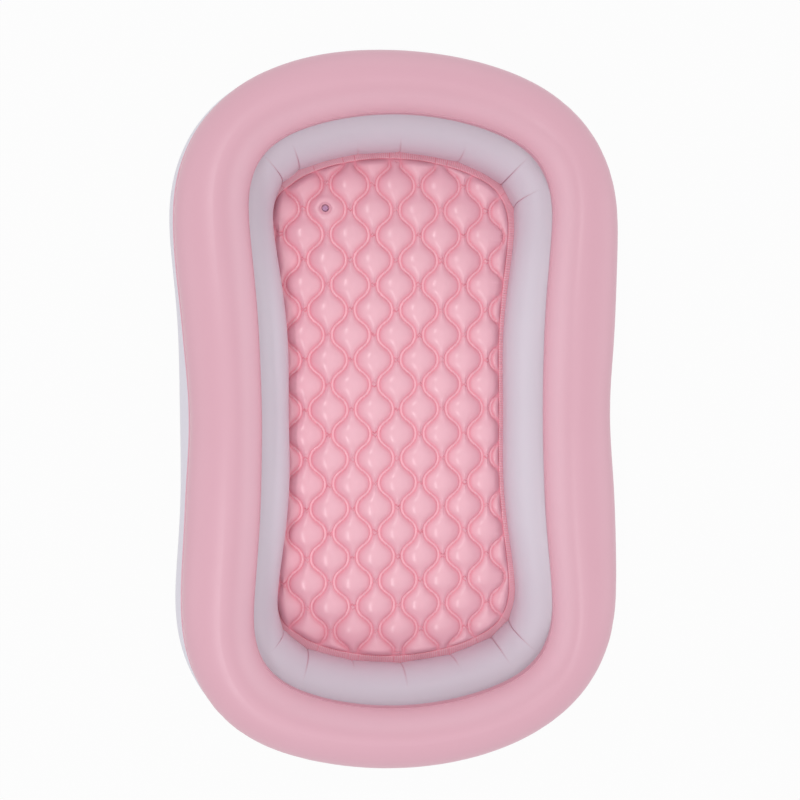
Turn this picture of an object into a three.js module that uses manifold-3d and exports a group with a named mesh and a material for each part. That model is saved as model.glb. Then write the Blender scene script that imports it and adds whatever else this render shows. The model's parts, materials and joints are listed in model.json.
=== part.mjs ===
// Inflatable baby pool: a narrow pink ring welded on top of a wide white ring, round an air floor with wavy
// weld lines, and three push-in air valves. Everything but the valves is thin vinyl film welded at its margins.
// Millimetres. X runs across the pool, Y along it and Z up. The origin is the middle of the footprint, on the ground.
import * as THREE from "three";
import { mergeVertices } from "three/addons/utils/BufferGeometryUtils.js";
import Module from "manifold-3d";

const wasm = await Module();
wasm.setup();

// Overall sizes
const overallLength = 1300;
const widthAtWaist = 790;
const overallHeight = 245;

// Film and fits
const film = 0.4;
const seatGap = 0.3;
const weldClearance = 1.5;

// Heights
const upperRingHeight = 105;
const jointHeight = overallHeight - upperRingHeight;
const upperSeamHeight = jointHeight + upperRingHeight / 2;
const lowerBulgeHeight = jointHeight / 2;
const weldBandHeight = 15;

// How far each ring reaches out of and into the pool from the joint line: at the middle of a side, at its shoulder
// and at the corner, which lie a third and two thirds of a quarter turn on, and at the middle of an end
const upperOuterReach = { side: 54, shoulder: 65, corner: 43, end: 40 };
const upperInnerReach = { side: 60, shoulder: 53, corner: 58, end: 55 };
const lowerOuterReach = { side: 95, shoulder: 99, corner: 92, end: 92 };
const lowerInnerReach = { side: 98, shoulder: 93, corner: 82, end: 77 };
const weldReach = { side: 82, shoulder: 78, corner: 72, end: 63 };
const footOuterReach = { side: 60, shoulder: 59, corner: 56, end: 55 };
const footInnerReach = { side: 58, shoulder: 56, corner: 52, end: 50 };

// Widths of the welded margins
const jointMargin = 24;
const outerSeamMargin = 4;
const innerSeamMargin = 3;
const weldBandWidth = 14;

// The joint line between the rings, seen from above: an oblong with round ends and slightly waisted sides.
// It is a closed spline, pulled by guide points that stand off the waist's half width and along the half length.
const jointLine = {
  halfLength: overallLength / 2 - lowerOuterReach.end,
  halfWidth: widthAtWaist / 2 - lowerOuterReach.side,
};
const sideGuides = [
  { out: 4, alongShare: 0 },
  { out: -8, alongShare: 0.27 },
  { out: 12, alongShare: 0.54 },
  { out: 17, alongShare: 0.725 },
  { out: -51, alongShare: 0.94 },
];
const endGuide = { beyond: 18 };
const stationCount = 54;
const turnAllowance = 200;
const archSteps = 6;
const quarterSteps = 3;

// Floor weld lines: wavy lines along the pool, each the mirror of the next
const columnSpacing = 44;
const waveLength = 95.5;
const waveHeight = 14;
const bubbleHeight = weldBandHeight - 3 * film;
const pinchShare = 0.35;
const netNudgeShare = 1e-6;
const netFrameShare = 100;
const floorEdgeSpacing = 46;
const floorEdgeClear = 24;
const floorEdgeFade = 40;
const floorValveGap = { side: 75, end: 100 };

// Air valve, in its own frame: Z points out of the film and the film's outer face is at zero
const valve = {
  holeRadius: 7.2,
  flangeRadius: 12,
  flangeThickness: 0.8,
  wellWall: 0.8,
  wellDepth: 16,
  neckRadius: 5.2,
  neckBore: 3.6,
  neckTop: 3,
  neckLength: 12,
  footThickness: 1.2,
  plugHeadRadius: 5,
  plugHeadThickness: 2,
  plugStemLength: 7,
  plugDimple: 0.6,
  collarWidth: 1.1,
  collarHeight: 1.2,
  collarTop: 5.5,
  strapWidth: 3,
  tabLength: 2.4,
  tabThickness: 0.8,
  flapThickness: 0.6,
  flapLip: 0.8,
};
const valveSegments = 16;
const valveLand = 17;
const valveLandPoints = 8;
const cutOverrun = 5;

// Finishes
const pinkVinyl = { color: 0xe0a9b8, roughness: 0.38, metalness: 0 };
const whiteVinyl = { color: 0xd9cfda, roughness: 0.35, metalness: 0 };
const floorVinyl = { color: 0xe6a6b6, roughness: 0.4, metalness: 0 };
const clearVinyl = { color: 0xd8cfe6, roughness: 0.2, metalness: 0 };

// Solids
function solidOf(geometry) {
  const bare = geometry.clone();
  bare.deleteAttribute("normal");
  bare.deleteAttribute("uv");
  const merged = mergeVertices(bare);
  const vertProperties = merged.getAttribute("position").array;
  const triVerts = new Uint32Array(merged.index.array);
  return new wasm.Manifold(new wasm.Mesh({ numProp: 3, vertProperties, triVerts }));
}

function geometryOf(solid) {
  const made = solid.getMesh();
  const geometry = new THREE.BufferGeometry();
  geometry.setAttribute("position", new THREE.BufferAttribute(made.vertProperties, made.numProp));
  geometry.setIndex(new THREE.BufferAttribute(made.triVerts, 1));
  return geometry;
}

function indexedGeometry(points, triangles) {
  const geometry = new THREE.BufferGeometry().setFromPoints(points);
  geometry.setIndex(triangles.flat());
  return geometry;
}

const pool = new THREE.Group();

function addPiece(parent, name, geometry, finish) {
  const mesh = new THREE.Mesh(geometry, new THREE.MeshStandardMaterial(finish));
  mesh.name = name;
  parent.add(mesh);
  return mesh;
}

// The guide points all round the pool, from the middle of one side
function makeGuides() {
  const quarter = sideGuides.map(({ out, alongShare }) =>
    new THREE.Vector2(jointLine.halfWidth + out, alongShare * jointLine.halfLength));
  const end = new THREE.Vector2(0, jointLine.halfLength + endGuide.beyond);
  const mirrored = quarter.slice(1).reverse().map(({ x, y }) => new THREE.Vector2(-x, y));
  const half = [...quarter, end, ...mirrored];
  return [...half, ...half.map((guide) => guide.clone().negate())];
}

const guides = makeGuides();

// The joint line's stations, closer together where it turns; the travel counts guide points passed
function jointPoint(travel) {
  const start = Math.floor(travel);
  const rest = travel - start;
  const left = 1 - rest;
  const weights = [
    left ** 3,
    3 * rest ** 3 - 6 * rest ** 2 + 4,
    3 * left ** 3 - 6 * left ** 2 + 4,
    rest ** 3,
  ];
  const point = new THREE.Vector2();
  weights.forEach((weight, i) => {
    point.addScaledVector(guides[(start + i - 1 + guides.length) % guides.length], weight / 6);
  });
  return point;
}

function jointDirection(travel) {
  const step = guides.length / 3600;
  return jointPoint(travel + step).sub(jointPoint(travel - step)).normalize();
}

function makeStations() {
  const samples = 40 * stationCount;
  const travelled = [0];
  for (let i = 1; i <= samples; i++) {
    const before = (guides.length * (i - 1)) / samples;
    const after = (guides.length * i) / samples;
    const length = jointPoint(after).distanceTo(jointPoint(before));
    const cosine = THREE.MathUtils.clamp(jointDirection(after).dot(jointDirection(before)), -1, 1);
    travelled.push(travelled[i - 1] + length + turnAllowance * Math.acos(cosine));
  }
  const stations = [];
  let sample = 0;
  for (let i = 0; i < stationCount; i++) {
    const wanted = (travelled[samples] * i) / stationCount;
    while (travelled[sample + 1] <= wanted) sample++;
    const rest = (wanted - travelled[sample]) / (travelled[sample + 1] - travelled[sample]);
    const travel = (guides.length * (sample + rest)) / samples;
    const point = jointPoint(travel);
    const direction = jointDirection(travel);
    stations.push({
      point,
      outward: new THREE.Vector2(direction.y, -direction.x),
      bearing: Math.atan2(point.y, point.x),
    });
  }
  return stations;
}

const stations = makeStations();

// A reach goes through its four values in one smooth wave round the pool
function reachAt({ side, shoulder, corner, end }, { bearing }) {
  return (side + 2 * shoulder + 2 * corner + end) / 6
    + ((side + shoulder - corner - end) / 3) * Math.cos(2 * bearing)
    + ((side - shoulder - corner + end) / 3) * Math.cos(4 * bearing)
    + ((side - 2 * shoulder + 2 * corner - end) / 6) * Math.cos(6 * bearing);
}

function placeAt(station, [offset, height]) {
  const { point, outward } = station;
  return new THREE.Vector3(point.x + offset * outward.x, point.y + offset * outward.y, height);
}

// Sections: each film's profile from one margin to the other, as [offset from the joint line, height].
// The depth is zero on the film's outer face and the film's thickness on its air side.
function quarter(middle, height, reachOut, reachUp, from, to, steps) {
  const points = [];
  for (let i = 0; i <= steps; i++) {
    const turn = from + ((to - from) * i) / steps;
    points.push([middle + reachOut * Math.cos(turn), height + reachUp * Math.sin(turn)]);
  }
  return points;
}

function upperTopProfile(station, depth) {
  const outer = reachAt(upperOuterReach, station);
  const inner = reachAt(upperInnerReach, station);
  const seam = upperSeamHeight + film - depth;
  const rise = overallHeight - upperSeamHeight - film;
  return [
    [outer + outerSeamMargin, seam],
    ...quarter((outer - inner) / 2, seam, (outer + inner) / 2 - depth, rise, 0, Math.PI, archSteps),
    [-inner - innerSeamMargin, seam],
  ];
}

function upperUndersideProfile(station, depth) {
  const outer = reachAt(upperOuterReach, station);
  const inner = reachAt(upperInnerReach, station);
  const half = jointMargin / 2;
  const seam = upperSeamHeight - film + depth;
  const drop = upperSeamHeight - film - jointHeight;
  return [
    [outer + outerSeamMargin, seam],
    ...quarter(half, seam, outer - depth - half, -drop, 0, Math.PI / 2, quarterSteps),
    ...quarter(-half, seam, inner - depth - half, -drop, Math.PI / 2, Math.PI, quarterSteps),
    [-inner - innerSeamMargin, seam],
  ];
}

function lowerInnerProfile(station, depth) {
  const inner = reachAt(lowerInnerReach, station);
  const weld = reachAt(weldReach, station);
  const half = jointMargin / 2;
  const fall = lowerBulgeHeight - weldBandHeight;
  const weldTurn = Math.asin(fall / lowerBulgeHeight);
  const belly = (inner - weld) / (1 - Math.cos(weldTurn));
  const rise = jointHeight - depth - lowerBulgeHeight;
  const wall = quarter(
    belly - inner,
    lowerBulgeHeight,
    depth - belly,
    depth - lowerBulgeHeight,
    0,
    weldTurn,
    quarterSteps,
  );
  return [
    [half, jointHeight - depth],
    ...quarter(-half, lowerBulgeHeight, inner - depth - half, rise, Math.PI / 2, Math.PI, quarterSteps),
    ...wall.slice(1, -1),
    [depth - weld, weldBandHeight - depth],
    [-weld - weldBandWidth, weldBandHeight - depth],
  ];
}

function lowerOuterProfile(station, depth) {
  const outer = reachAt(lowerOuterReach, station);
  const weld = reachAt(weldReach, station);
  const footOuter = reachAt(footOuterReach, station);
  const footInner = reachAt(footInnerReach, station);
  const half = jointMargin / 2;
  const top = jointHeight - film - depth;
  const band = weldBandHeight - 2 * film + depth;
  const fall = lowerBulgeHeight - depth;
  const shoulder = quarter(
    half,
    lowerBulgeHeight,
    outer - depth - half,
    top - lowerBulgeHeight,
    Math.PI / 2,
    0,
    quarterSteps,
  );
  const under = quarter(
    footOuter,
    lowerBulgeHeight,
    outer - depth - footOuter,
    -fall,
    0,
    Math.PI / 2,
    quarterSteps,
  );
  return [
    [-half, top],
    ...shoulder,
    ...under.slice(1),
    ...quarter(-footInner, band, weld - depth - footInner, depth - band, Math.PI / 2, Math.PI, 2),
    [-weld - weldBandWidth, band],
  ];
}

// A closed film swept round every station
function sweepFilm(profile) {
  const loops = stations.map((station) => [
    ...profile(station, 0),
    ...profile(station, film).reverse(),
  ].map((place) => placeAt(station, place)));
  const around = loops[0].length;
  const triangles = [];
  for (let i = 0; i < stationCount; i++) {
    const next = (i + 1) % stationCount;
    for (let j = 0; j < around; j++) {
      const after = (j + 1) % around;
      const [a, b] = [i * around + j, i * around + after];
      const [c, d] = [next * around + after, next * around + j];
      triangles.push([a, b, c], [a, c, d]);
    }
  }
  const geometry = indexedGeometry(loops.flat(), triangles);
  return signedVolume(geometry) < 0 ? turnedOver(geometry) : geometry;
}

function signedVolume(geometry) {
  const position = geometry.getAttribute("position");
  const index = geometry.index.array;
  const [a, b, c] = [new THREE.Vector3(), new THREE.Vector3(), new THREE.Vector3()];
  let volume = 0;
  for (let i = 0; i < index.length; i += 3) {
    a.fromBufferAttribute(position, index[i]);
    b.fromBufferAttribute(position, index[i + 1]);
    c.fromBufferAttribute(position, index[i + 2]);
    volume += a.dot(b.cross(c)) / 6;
  }
  return volume;
}

function turnedOver(geometry) {
  const index = geometry.index.array;
  for (let i = 0; i < index.length; i += 3) {
    [index[i + 1], index[i + 2]] = [index[i + 2], index[i + 1]];
  }
  return geometry;
}

// A valve's frame in the middle of one panel of a swept film
function panelFrame(profile, stationIndex, panelIndex) {
  const [first, second] = [stations[stationIndex], stations[stationIndex + 1]];
  const corners = [first, second].flatMap((station) =>
    profile(station, 0).slice(panelIndex, panelIndex + 2).map((place) => placeAt(station, place)));
  const [a, b, c, d] = corners;
  const middle = new THREE.Vector3().add(a).add(b).add(c).add(d).divideScalar(4);
  const normal = new THREE.Vector3().subVectors(d, a).cross(new THREE.Vector3().subVectors(c, b)).normalize();
  const outward = placeAt(first, [1, 0]).sub(placeAt(first, [0, 0]));
  if (normal.dot(outward) < 0) normal.negate();
  return { middle, normal };
}

// Floor sheets: the plan is a triangle net over the weld lines, the bubble crests and the flat weld band
function floorOutline(inset) {
  const corners = stations.map((station) => {
    const { x, y } = placeAt(station, [-reachAt(weldReach, station) - inset, 0]);
    return new THREE.Vector2(x, y);
  });
  const outline = new THREE.Path([...corners, corners[0]]);
  const pieces = Math.round(outline.getLength() / floorEdgeSpacing);
  return outline.getSpacedPoints(pieces).slice(0, -1);
}

function distanceToOutline(point, outline) {
  let nearest = Infinity;
  outline.forEach((start, i) => {
    const end = outline[(i + 1) % outline.length];
    const along = end.clone().sub(start);
    const share = THREE.MathUtils.clamp(point.clone().sub(start).dot(along) / along.lengthSq(), 0, 1);
    nearest = Math.min(nearest, point.distanceTo(start.clone().addScaledVector(along, share)));
  });
  return nearest;
}

function isInside(point, outline) {
  let inside = false;
  outline.forEach((start, i) => {
    const end = outline[(i + 1) % outline.length];
    const crosses = start.y > point.y !== end.y > point.y;
    const x = start.x + ((point.y - start.y) * (end.x - start.x)) / (end.y - start.y);
    if (crosses && point.x < x) inside = !inside;
  });
  return inside;
}

// How far the weld line on the right of a column swings out at a place along the pool
function lineSwing(column, y) {
  const sign = column % 2 === 0 ? -1 : 1;
  return sign * waveHeight * Math.cos((2 * Math.PI * y) / waveLength);
}

// The crest of a bubble; those of one column lie between those of the next
function bubbleCrest(column, row) {
  const shift = column % 2 === 0 ? 1 / 2 : 0;
  return new THREE.Vector2(column * columnSpacing, (row + shift) * waveLength);
}

// The floor valve sits on the bubble nearest to one corner that leaves room round it
const floorValvePlace = bubbleCrest(
  -Math.floor((jointLine.halfWidth - weldReach.side - floorValveGap.side) / columnSpacing),
  Math.floor((jointLine.halfLength - weldReach.end - floorValveGap.end) / waveLength),
);

function floorNet() {
  const edge = floorOutline(weldClearance);
  const bandEdge = floorOutline(weldBandWidth);
  const net = [
    ...edge.map((place) => ({ place, rise: 0 })),
    ...bandEdge.map((place) => ({ place, rise: 0 })),
  ];
  const addPoint = (x, y, fullRise) => {
    const place = new THREE.Vector2(x, y);
    if (!isInside(place, bandEdge)) return;
    const clear = distanceToOutline(place, bandEdge);
    if (clear < floorEdgeClear) return;
    if (place.distanceTo(floorValvePlace) < valveLand) return;
    net.push({ place, rise: fullRise * Math.min(1, clear / floorEdgeFade) });
  };
  const rows = Math.ceil(jointLine.halfLength / waveLength) * 4;
  const columns = Math.ceil(jointLine.halfWidth / columnSpacing);
  for (let column = -columns; column <= columns; column++) {
    for (let row = -rows; row <= rows; row++) {
      const y = (row * waveLength) / 4;
      addPoint((column + 1 / 2) * columnSpacing + lineSwing(column, y), y, 0);
      if (row % 2 !== 0) continue;
      const isWide = lineSwing(column, y) > 0;
      addPoint(column * columnSpacing, y, isWide ? 1 : pinchShare);
    }
  }
  for (let i = 0; i < valveLandPoints; i++) {
    const turn = (2 * Math.PI * i) / valveLandPoints;
    const place = new THREE.Vector2(Math.cos(turn), Math.sin(turn)).multiplyScalar(valveLand);
    net.push({ place: place.add(floorValvePlace), rise: 1 });
  }
  const triangles = triangulate(net.map(({ place }) => place)).filter((corners) => {
    const middle = new THREE.Vector2();
    corners.forEach((corner) => middle.add(net[corner].place));
    return isInside(middle.divideScalar(3), edge);
  });
  return { net, triangles, edgeCount: edge.length };
}

// Delaunay triangles of plan points, found point by point; each triangle runs anticlockwise
function triangulate(places) {
  const nudge = columnSpacing * netNudgeShare;
  const spots = places.map(({ x, y }, i) => [x + nudge * Math.sin(7 * i), y + nudge * Math.cos(11 * i)]);
  const far = netFrameShare * overallLength;
  const count = spots.length;
  spots.push([-far, -far], [far, -far], [0, far]);
  let triangles = [circled(spots, count, count + 1, count + 2)];
  for (let i = 0; i < count; i++) {
    const [x, y] = spots[i];
    const rim = new Map();
    const kept = [];
    triangles.forEach((triangle) => {
      if (Math.hypot(x - triangle.x, y - triangle.y) > triangle.radius) {
        kept.push(triangle);
        return;
      }
      triangle.corners.forEach((start, k) => {
        const end = triangle.corners[(k + 1) % 3];
        if (!rim.delete(`${end},${start}`)) rim.set(`${start},${end}`, [start, end]);
      });
    });
    rim.forEach(([start, end]) => kept.push(circled(spots, start, end, i)));
    triangles = kept;
  }
  return triangles.map(({ corners }) => corners).filter((corners) => Math.max(...corners) < count);
}

// A triangle with its circumscribed circle
function circled(spots, a, b, c) {
  const [[ax, ay], [bx, by], [cx, cy]] = [spots[a], spots[b], spots[c]];
  const twice = 2 * ((bx - ax) * (cy - ay) - (cx - ax) * (by - ay));
  const bSquare = (bx - ax) ** 2 + (by - ay) ** 2;
  const cSquare = (cx - ax) ** 2 + (cy - ay) ** 2;
  const x = ax + ((cy - ay) * bSquare - (by - ay) * cSquare) / twice;
  const y = ay + ((bx - ax) * cSquare - (cx - ax) * bSquare) / twice;
  return { corners: [a, b, c], x, y, radius: Math.hypot(x - ax, y - ay) };
}

const floorPlan = floorNet();

// A floor sheet between two heights of the net, each worked out from how far the bubble swells there
function floorSheet(topHeight, bottomHeight) {
  const { net, triangles, edgeCount } = floorPlan;
  const points = [topHeight, bottomHeight].flatMap((height) =>
    net.map(({ place, rise }) => new THREE.Vector3(place.x, place.y, height(rise))));
  const faces = triangles.flatMap(([a, b, c]) => [
    [a, b, c],
    [net.length + a, net.length + c, net.length + b],
  ]);
  for (let i = 0; i < edgeCount; i++) {
    const next = (i + 1) % edgeCount;
    faces.push([i, net.length + next, next], [i, net.length + i, net.length + next]);
  }
  return indexedGeometry(points, faces);
}

// Valves
function valveHole() {
  const depth = valve.wellDepth + 2 * cutOverrun;
  const hole = new THREE.CylinderGeometry(valve.holeRadius, valve.holeRadius, depth, valveSegments);
  return hole.rotateX(Math.PI / 2);
}

function cutForValve(geometry, frame) {
  const turn = new THREE.Quaternion().setFromUnitVectors(new THREE.Vector3(0, 0, 1), frame.normal);
  const hole = valveHole().applyQuaternion(turn).translate(frame.middle.x, frame.middle.y, frame.middle.z);
  return geometryOf(solidOf(geometry).subtract(solidOf(hole)));
}

// A turned piece from [radius, height] points, its axis upright
function turned(profile) {
  const points = profile.map(([radius, height]) => new THREE.Vector2(radius, height));
  points.push(points[0].clone());
  return new THREE.LatheGeometry(points, valveSegments).rotateX(Math.PI / 2);
}

function valveBase() {
  const { holeRadius, flangeRadius, flangeThickness, wellWall, wellDepth } = valve;
  const face = -film - seatGap;
  return turned([
    [holeRadius, -wellDepth],
    [holeRadius + wellWall, -wellDepth],
    [holeRadius + wellWall, face - flangeThickness],
    [flangeRadius, face - flangeThickness],
    [flangeRadius, face],
    [holeRadius, face],
  ]);
}

function valveNeck() {
  const { neckRadius, neckBore, neckTop, neckLength, footThickness, holeRadius } = valve;
  const bottom = -neckTop - neckLength;
  const footRadius = holeRadius - seatGap;
  return turned([
    [neckBore, bottom],
    [footRadius, bottom],
    [footRadius, bottom + footThickness],
    [neckRadius, bottom + footThickness],
    [neckRadius, -neckTop],
    [neckBore, -neckTop],
  ]);
}

function valvePlug() {
  const { neckTop, neckBore, plugHeadRadius, plugHeadThickness, plugStemLength, plugDimple } = valve;
  const seat = seatGap - neckTop;
  const top = seat + plugHeadThickness;
  const stemRadius = neckBore - seatGap;
  return turned([
    [0, seat - plugStemLength],
    [stemRadius - plugDimple, seat - plugStemLength],
    [stemRadius, seat - plugStemLength + 2 * plugDimple],
    [stemRadius, seat],
    [plugHeadRadius, seat],
    [plugHeadRadius, top - plugDimple],
    [plugHeadRadius - plugDimple, top],
    [stemRadius, top],
    [stemRadius - plugDimple, top - plugDimple],
    [0, top - plugDimple],
  ]);
}

// The strap: a collar round the neck, with a tongue that stands up beside the plug's head and ends in a pull tab
function valveStrap() {
  const { neckRadius, collarWidth, collarHeight, collarTop, strapWidth } = valve;
  const { tabLength, tabThickness } = valve;
  const bore = neckRadius + seatGap;
  const collar = turned([
    [bore, -collarTop - collarHeight],
    [bore + collarWidth, -collarTop - collarHeight],
    [bore + collarWidth, -collarTop],
    [bore, -collarTop],
  ]);
  const tongueFoot = -collarTop - collarHeight / 2;
  const tongueTop = tabLength - valve.neckTop + valve.plugHeadThickness;
  const outline = new THREE.Shape([
    new THREE.Vector2(bore, tongueFoot),
    new THREE.Vector2(bore + tabThickness, tongueFoot),
    new THREE.Vector2(bore + tabThickness, tongueTop - tabLength / 2),
    new THREE.Vector2(bore + tabThickness + tabLength / 2, tongueTop),
    new THREE.Vector2(bore + tabLength / 2, tongueTop),
    new THREE.Vector2(bore, tongueTop - tabLength / 2),
  ]);
  const tongue = new THREE.ExtrudeGeometry(outline, { depth: strapWidth, bevelEnabled: false });
  tongue.rotateX(Math.PI / 2).translate(0, strapWidth / 2, 0);
  return geometryOf(solidOf(collar).add(solidOf(tongue)));
}

function valveFlap() {
  const { neckTop, neckLength, neckBore, flapThickness, flapLip } = valve;
  const top = -neckTop - neckLength - seatGap;
  const radius = neckBore + flapLip;
  return turned([
    [0, top - flapThickness],
    [radius, top - flapThickness],
    [radius, top],
    [0, top],
  ]);
}

function addValve(name, frame) {
  const group = new THREE.Group();
  group.position.copy(frame.middle);
  group.quaternion.setFromUnitVectors(new THREE.Vector3(0, 0, 1), frame.normal);
  pool.add(group);
  addPiece(group, `${name}_base`, valveBase(), clearVinyl);
  addPiece(group, `${name}_neck`, valveNeck(), clearVinyl);
  addPiece(group, `${name}_plug`, valvePlug(), clearVinyl);
  addPiece(group, `${name}_strap`, valveStrap(), clearVinyl);
  addPiece(group, `${name}_flap`, valveFlap(), clearVinyl);
}

// Where the valves sit: one in the floor, and one in each ring's outer wall on the same side of the pool
const ringValveStation = stationCount - 3;
const upperValvePanel = 1;
const lowerValvePanel = 3;
const upperValve = panelFrame(upperUndersideProfile, ringValveStation, upperValvePanel);
const lowerValve = panelFrame(lowerOuterProfile, ringValveStation, lowerValvePanel);
const floorValve = {
  middle: new THREE.Vector3(floorValvePlace.x, floorValvePlace.y, weldBandHeight + film + bubbleHeight),
  normal: new THREE.Vector3(0, 0, 1),
};

// Rings
addPiece(pool, "upper_ring_top_sheet", sweepFilm(upperTopProfile), pinkVinyl);
addPiece(
  pool,
  "upper_ring_underside_sheet",
  cutForValve(sweepFilm(upperUndersideProfile), upperValve),
  pinkVinyl,
);
addPiece(pool, "lower_ring_inner_wall", sweepFilm(lowerInnerProfile), whiteVinyl);
addPiece(
  pool,
  "lower_ring_outer_wall",
  cutForValve(sweepFilm(lowerOuterProfile), lowerValve),
  whiteVinyl,
);

// Floor
const floorTop = floorSheet(
  (rise) => weldBandHeight + film + rise * bubbleHeight,
  (rise) => weldBandHeight + rise * bubbleHeight,
);
const floorBase = floorSheet(
  (rise) => (1 - rise) * bubbleHeight + film,
  (rise) => (1 - rise) * bubbleHeight,
);
addPiece(pool, "floor_top_sheet", cutForValve(floorTop, floorValve), floorVinyl);
addPiece(pool, "floor_base_sheet", floorBase, floorVinyl);

addValve("floor_valve", floorValve);
addValve("upper_ring_valve", upperValve);
addValve("lower_ring_valve", lowerValve);

export default pool;
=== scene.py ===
"""Inflatable baby pool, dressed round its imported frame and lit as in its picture.

Metres throughout. X runs across the pool, Y along it and Z up, with the ground at zero.
"""

import json
import logging
import math
from collections.abc import Sequence
from dataclasses import dataclass, field
from enum import Enum

import bmesh
import bpy
import numpy as np
from mathutils import Matrix, Vector
from mathutils.geometry import delaunay_2d_cdt


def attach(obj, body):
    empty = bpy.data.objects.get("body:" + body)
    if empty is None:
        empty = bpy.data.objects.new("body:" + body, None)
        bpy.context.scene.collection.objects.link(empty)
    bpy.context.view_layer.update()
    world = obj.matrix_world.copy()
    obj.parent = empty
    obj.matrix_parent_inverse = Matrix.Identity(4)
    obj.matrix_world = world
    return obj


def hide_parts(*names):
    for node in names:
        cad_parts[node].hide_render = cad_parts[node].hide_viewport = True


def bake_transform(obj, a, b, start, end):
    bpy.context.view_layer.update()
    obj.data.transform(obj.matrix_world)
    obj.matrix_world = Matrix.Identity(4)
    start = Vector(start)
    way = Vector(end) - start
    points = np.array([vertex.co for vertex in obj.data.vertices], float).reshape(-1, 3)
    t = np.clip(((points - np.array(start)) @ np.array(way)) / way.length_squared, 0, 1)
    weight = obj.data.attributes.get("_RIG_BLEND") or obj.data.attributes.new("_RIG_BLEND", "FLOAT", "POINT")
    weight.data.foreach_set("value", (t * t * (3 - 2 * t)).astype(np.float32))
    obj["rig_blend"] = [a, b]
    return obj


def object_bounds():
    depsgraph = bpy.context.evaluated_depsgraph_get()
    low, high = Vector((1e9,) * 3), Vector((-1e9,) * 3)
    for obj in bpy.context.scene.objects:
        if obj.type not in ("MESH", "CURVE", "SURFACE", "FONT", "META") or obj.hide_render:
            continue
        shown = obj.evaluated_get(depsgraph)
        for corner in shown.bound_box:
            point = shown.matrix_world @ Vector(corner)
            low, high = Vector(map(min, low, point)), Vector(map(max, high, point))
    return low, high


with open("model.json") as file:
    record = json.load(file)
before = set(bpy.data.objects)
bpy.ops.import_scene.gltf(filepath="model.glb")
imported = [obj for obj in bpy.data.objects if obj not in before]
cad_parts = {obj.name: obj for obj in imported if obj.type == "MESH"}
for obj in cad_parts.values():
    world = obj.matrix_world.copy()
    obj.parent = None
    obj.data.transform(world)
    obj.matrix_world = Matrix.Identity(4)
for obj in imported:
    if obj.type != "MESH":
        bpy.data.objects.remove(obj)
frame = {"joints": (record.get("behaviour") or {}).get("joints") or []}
CAD_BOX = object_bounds()

log = logging.getLogger("baby_pool")

Array = np.ndarray
Colour = tuple[float, float, float]

# The mesh attribute that carries painted shade on the vinyl, or below zero painted light

PAINTED_SHADING = "painted_shading"

# Sockets of a colour mix node, which Blender tells apart by number

MIX_FIRST = 6
MIX_SECOND = 7
MIX_RESULT = 2

# The smallest amounts that count

NEARLY_ZERO = 1e-12
SAME_PLACE = 1e-7

# Heights and widths that the rings and the floor share

FILM = 0.0004
SEAM_HEIGHT = 0.1925
JOINT_HEIGHT = 0.140
BAND_HEIGHT = 0.015
BUBBLE_HEIGHT = BAND_HEIGHT - 3 * FILM
JOINT_MARGIN = 0.024
BAND_WIDTH = 0.014


# What the pieces ride on, and their finishes


class Body(Enum):
    """The moving bodies that the pieces ride on."""

    SHELL = "pool_shell"
    FLOOR = "floor"
    UPPER = "upper"
    LOWER = "lower"

    def part(self, name: str) -> str:
        """The name of one moving part of the valve that this body stands for."""
        return f"{self.value}_{name}"


class Slot(Enum):
    """The record's material slots."""

    PINK_RING = "pink_ring_vinyl"
    WHITE_RING = "white_ring_vinyl"
    FLOOR = "floor_vinyl"
    CLEAR = "clear_valve_vinyl"


def linear(colour: Colour) -> tuple[float, float, float, float]:
    """Turns a display colour of 0 to 1 into the shader's linear colour.

    Args:
        colour: red, green and blue as seen on a display.

    Returns:
        The linear colour with full alpha.
    """
    low, scale, shift, power = 0.04045, 12.92, 0.055, 2.4
    red, green, blue = (
        value / scale if value <= low else ((value + shift) / (1 + shift)) ** power
        for value in colour
    )
    return red, green, blue, 1.0


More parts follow.
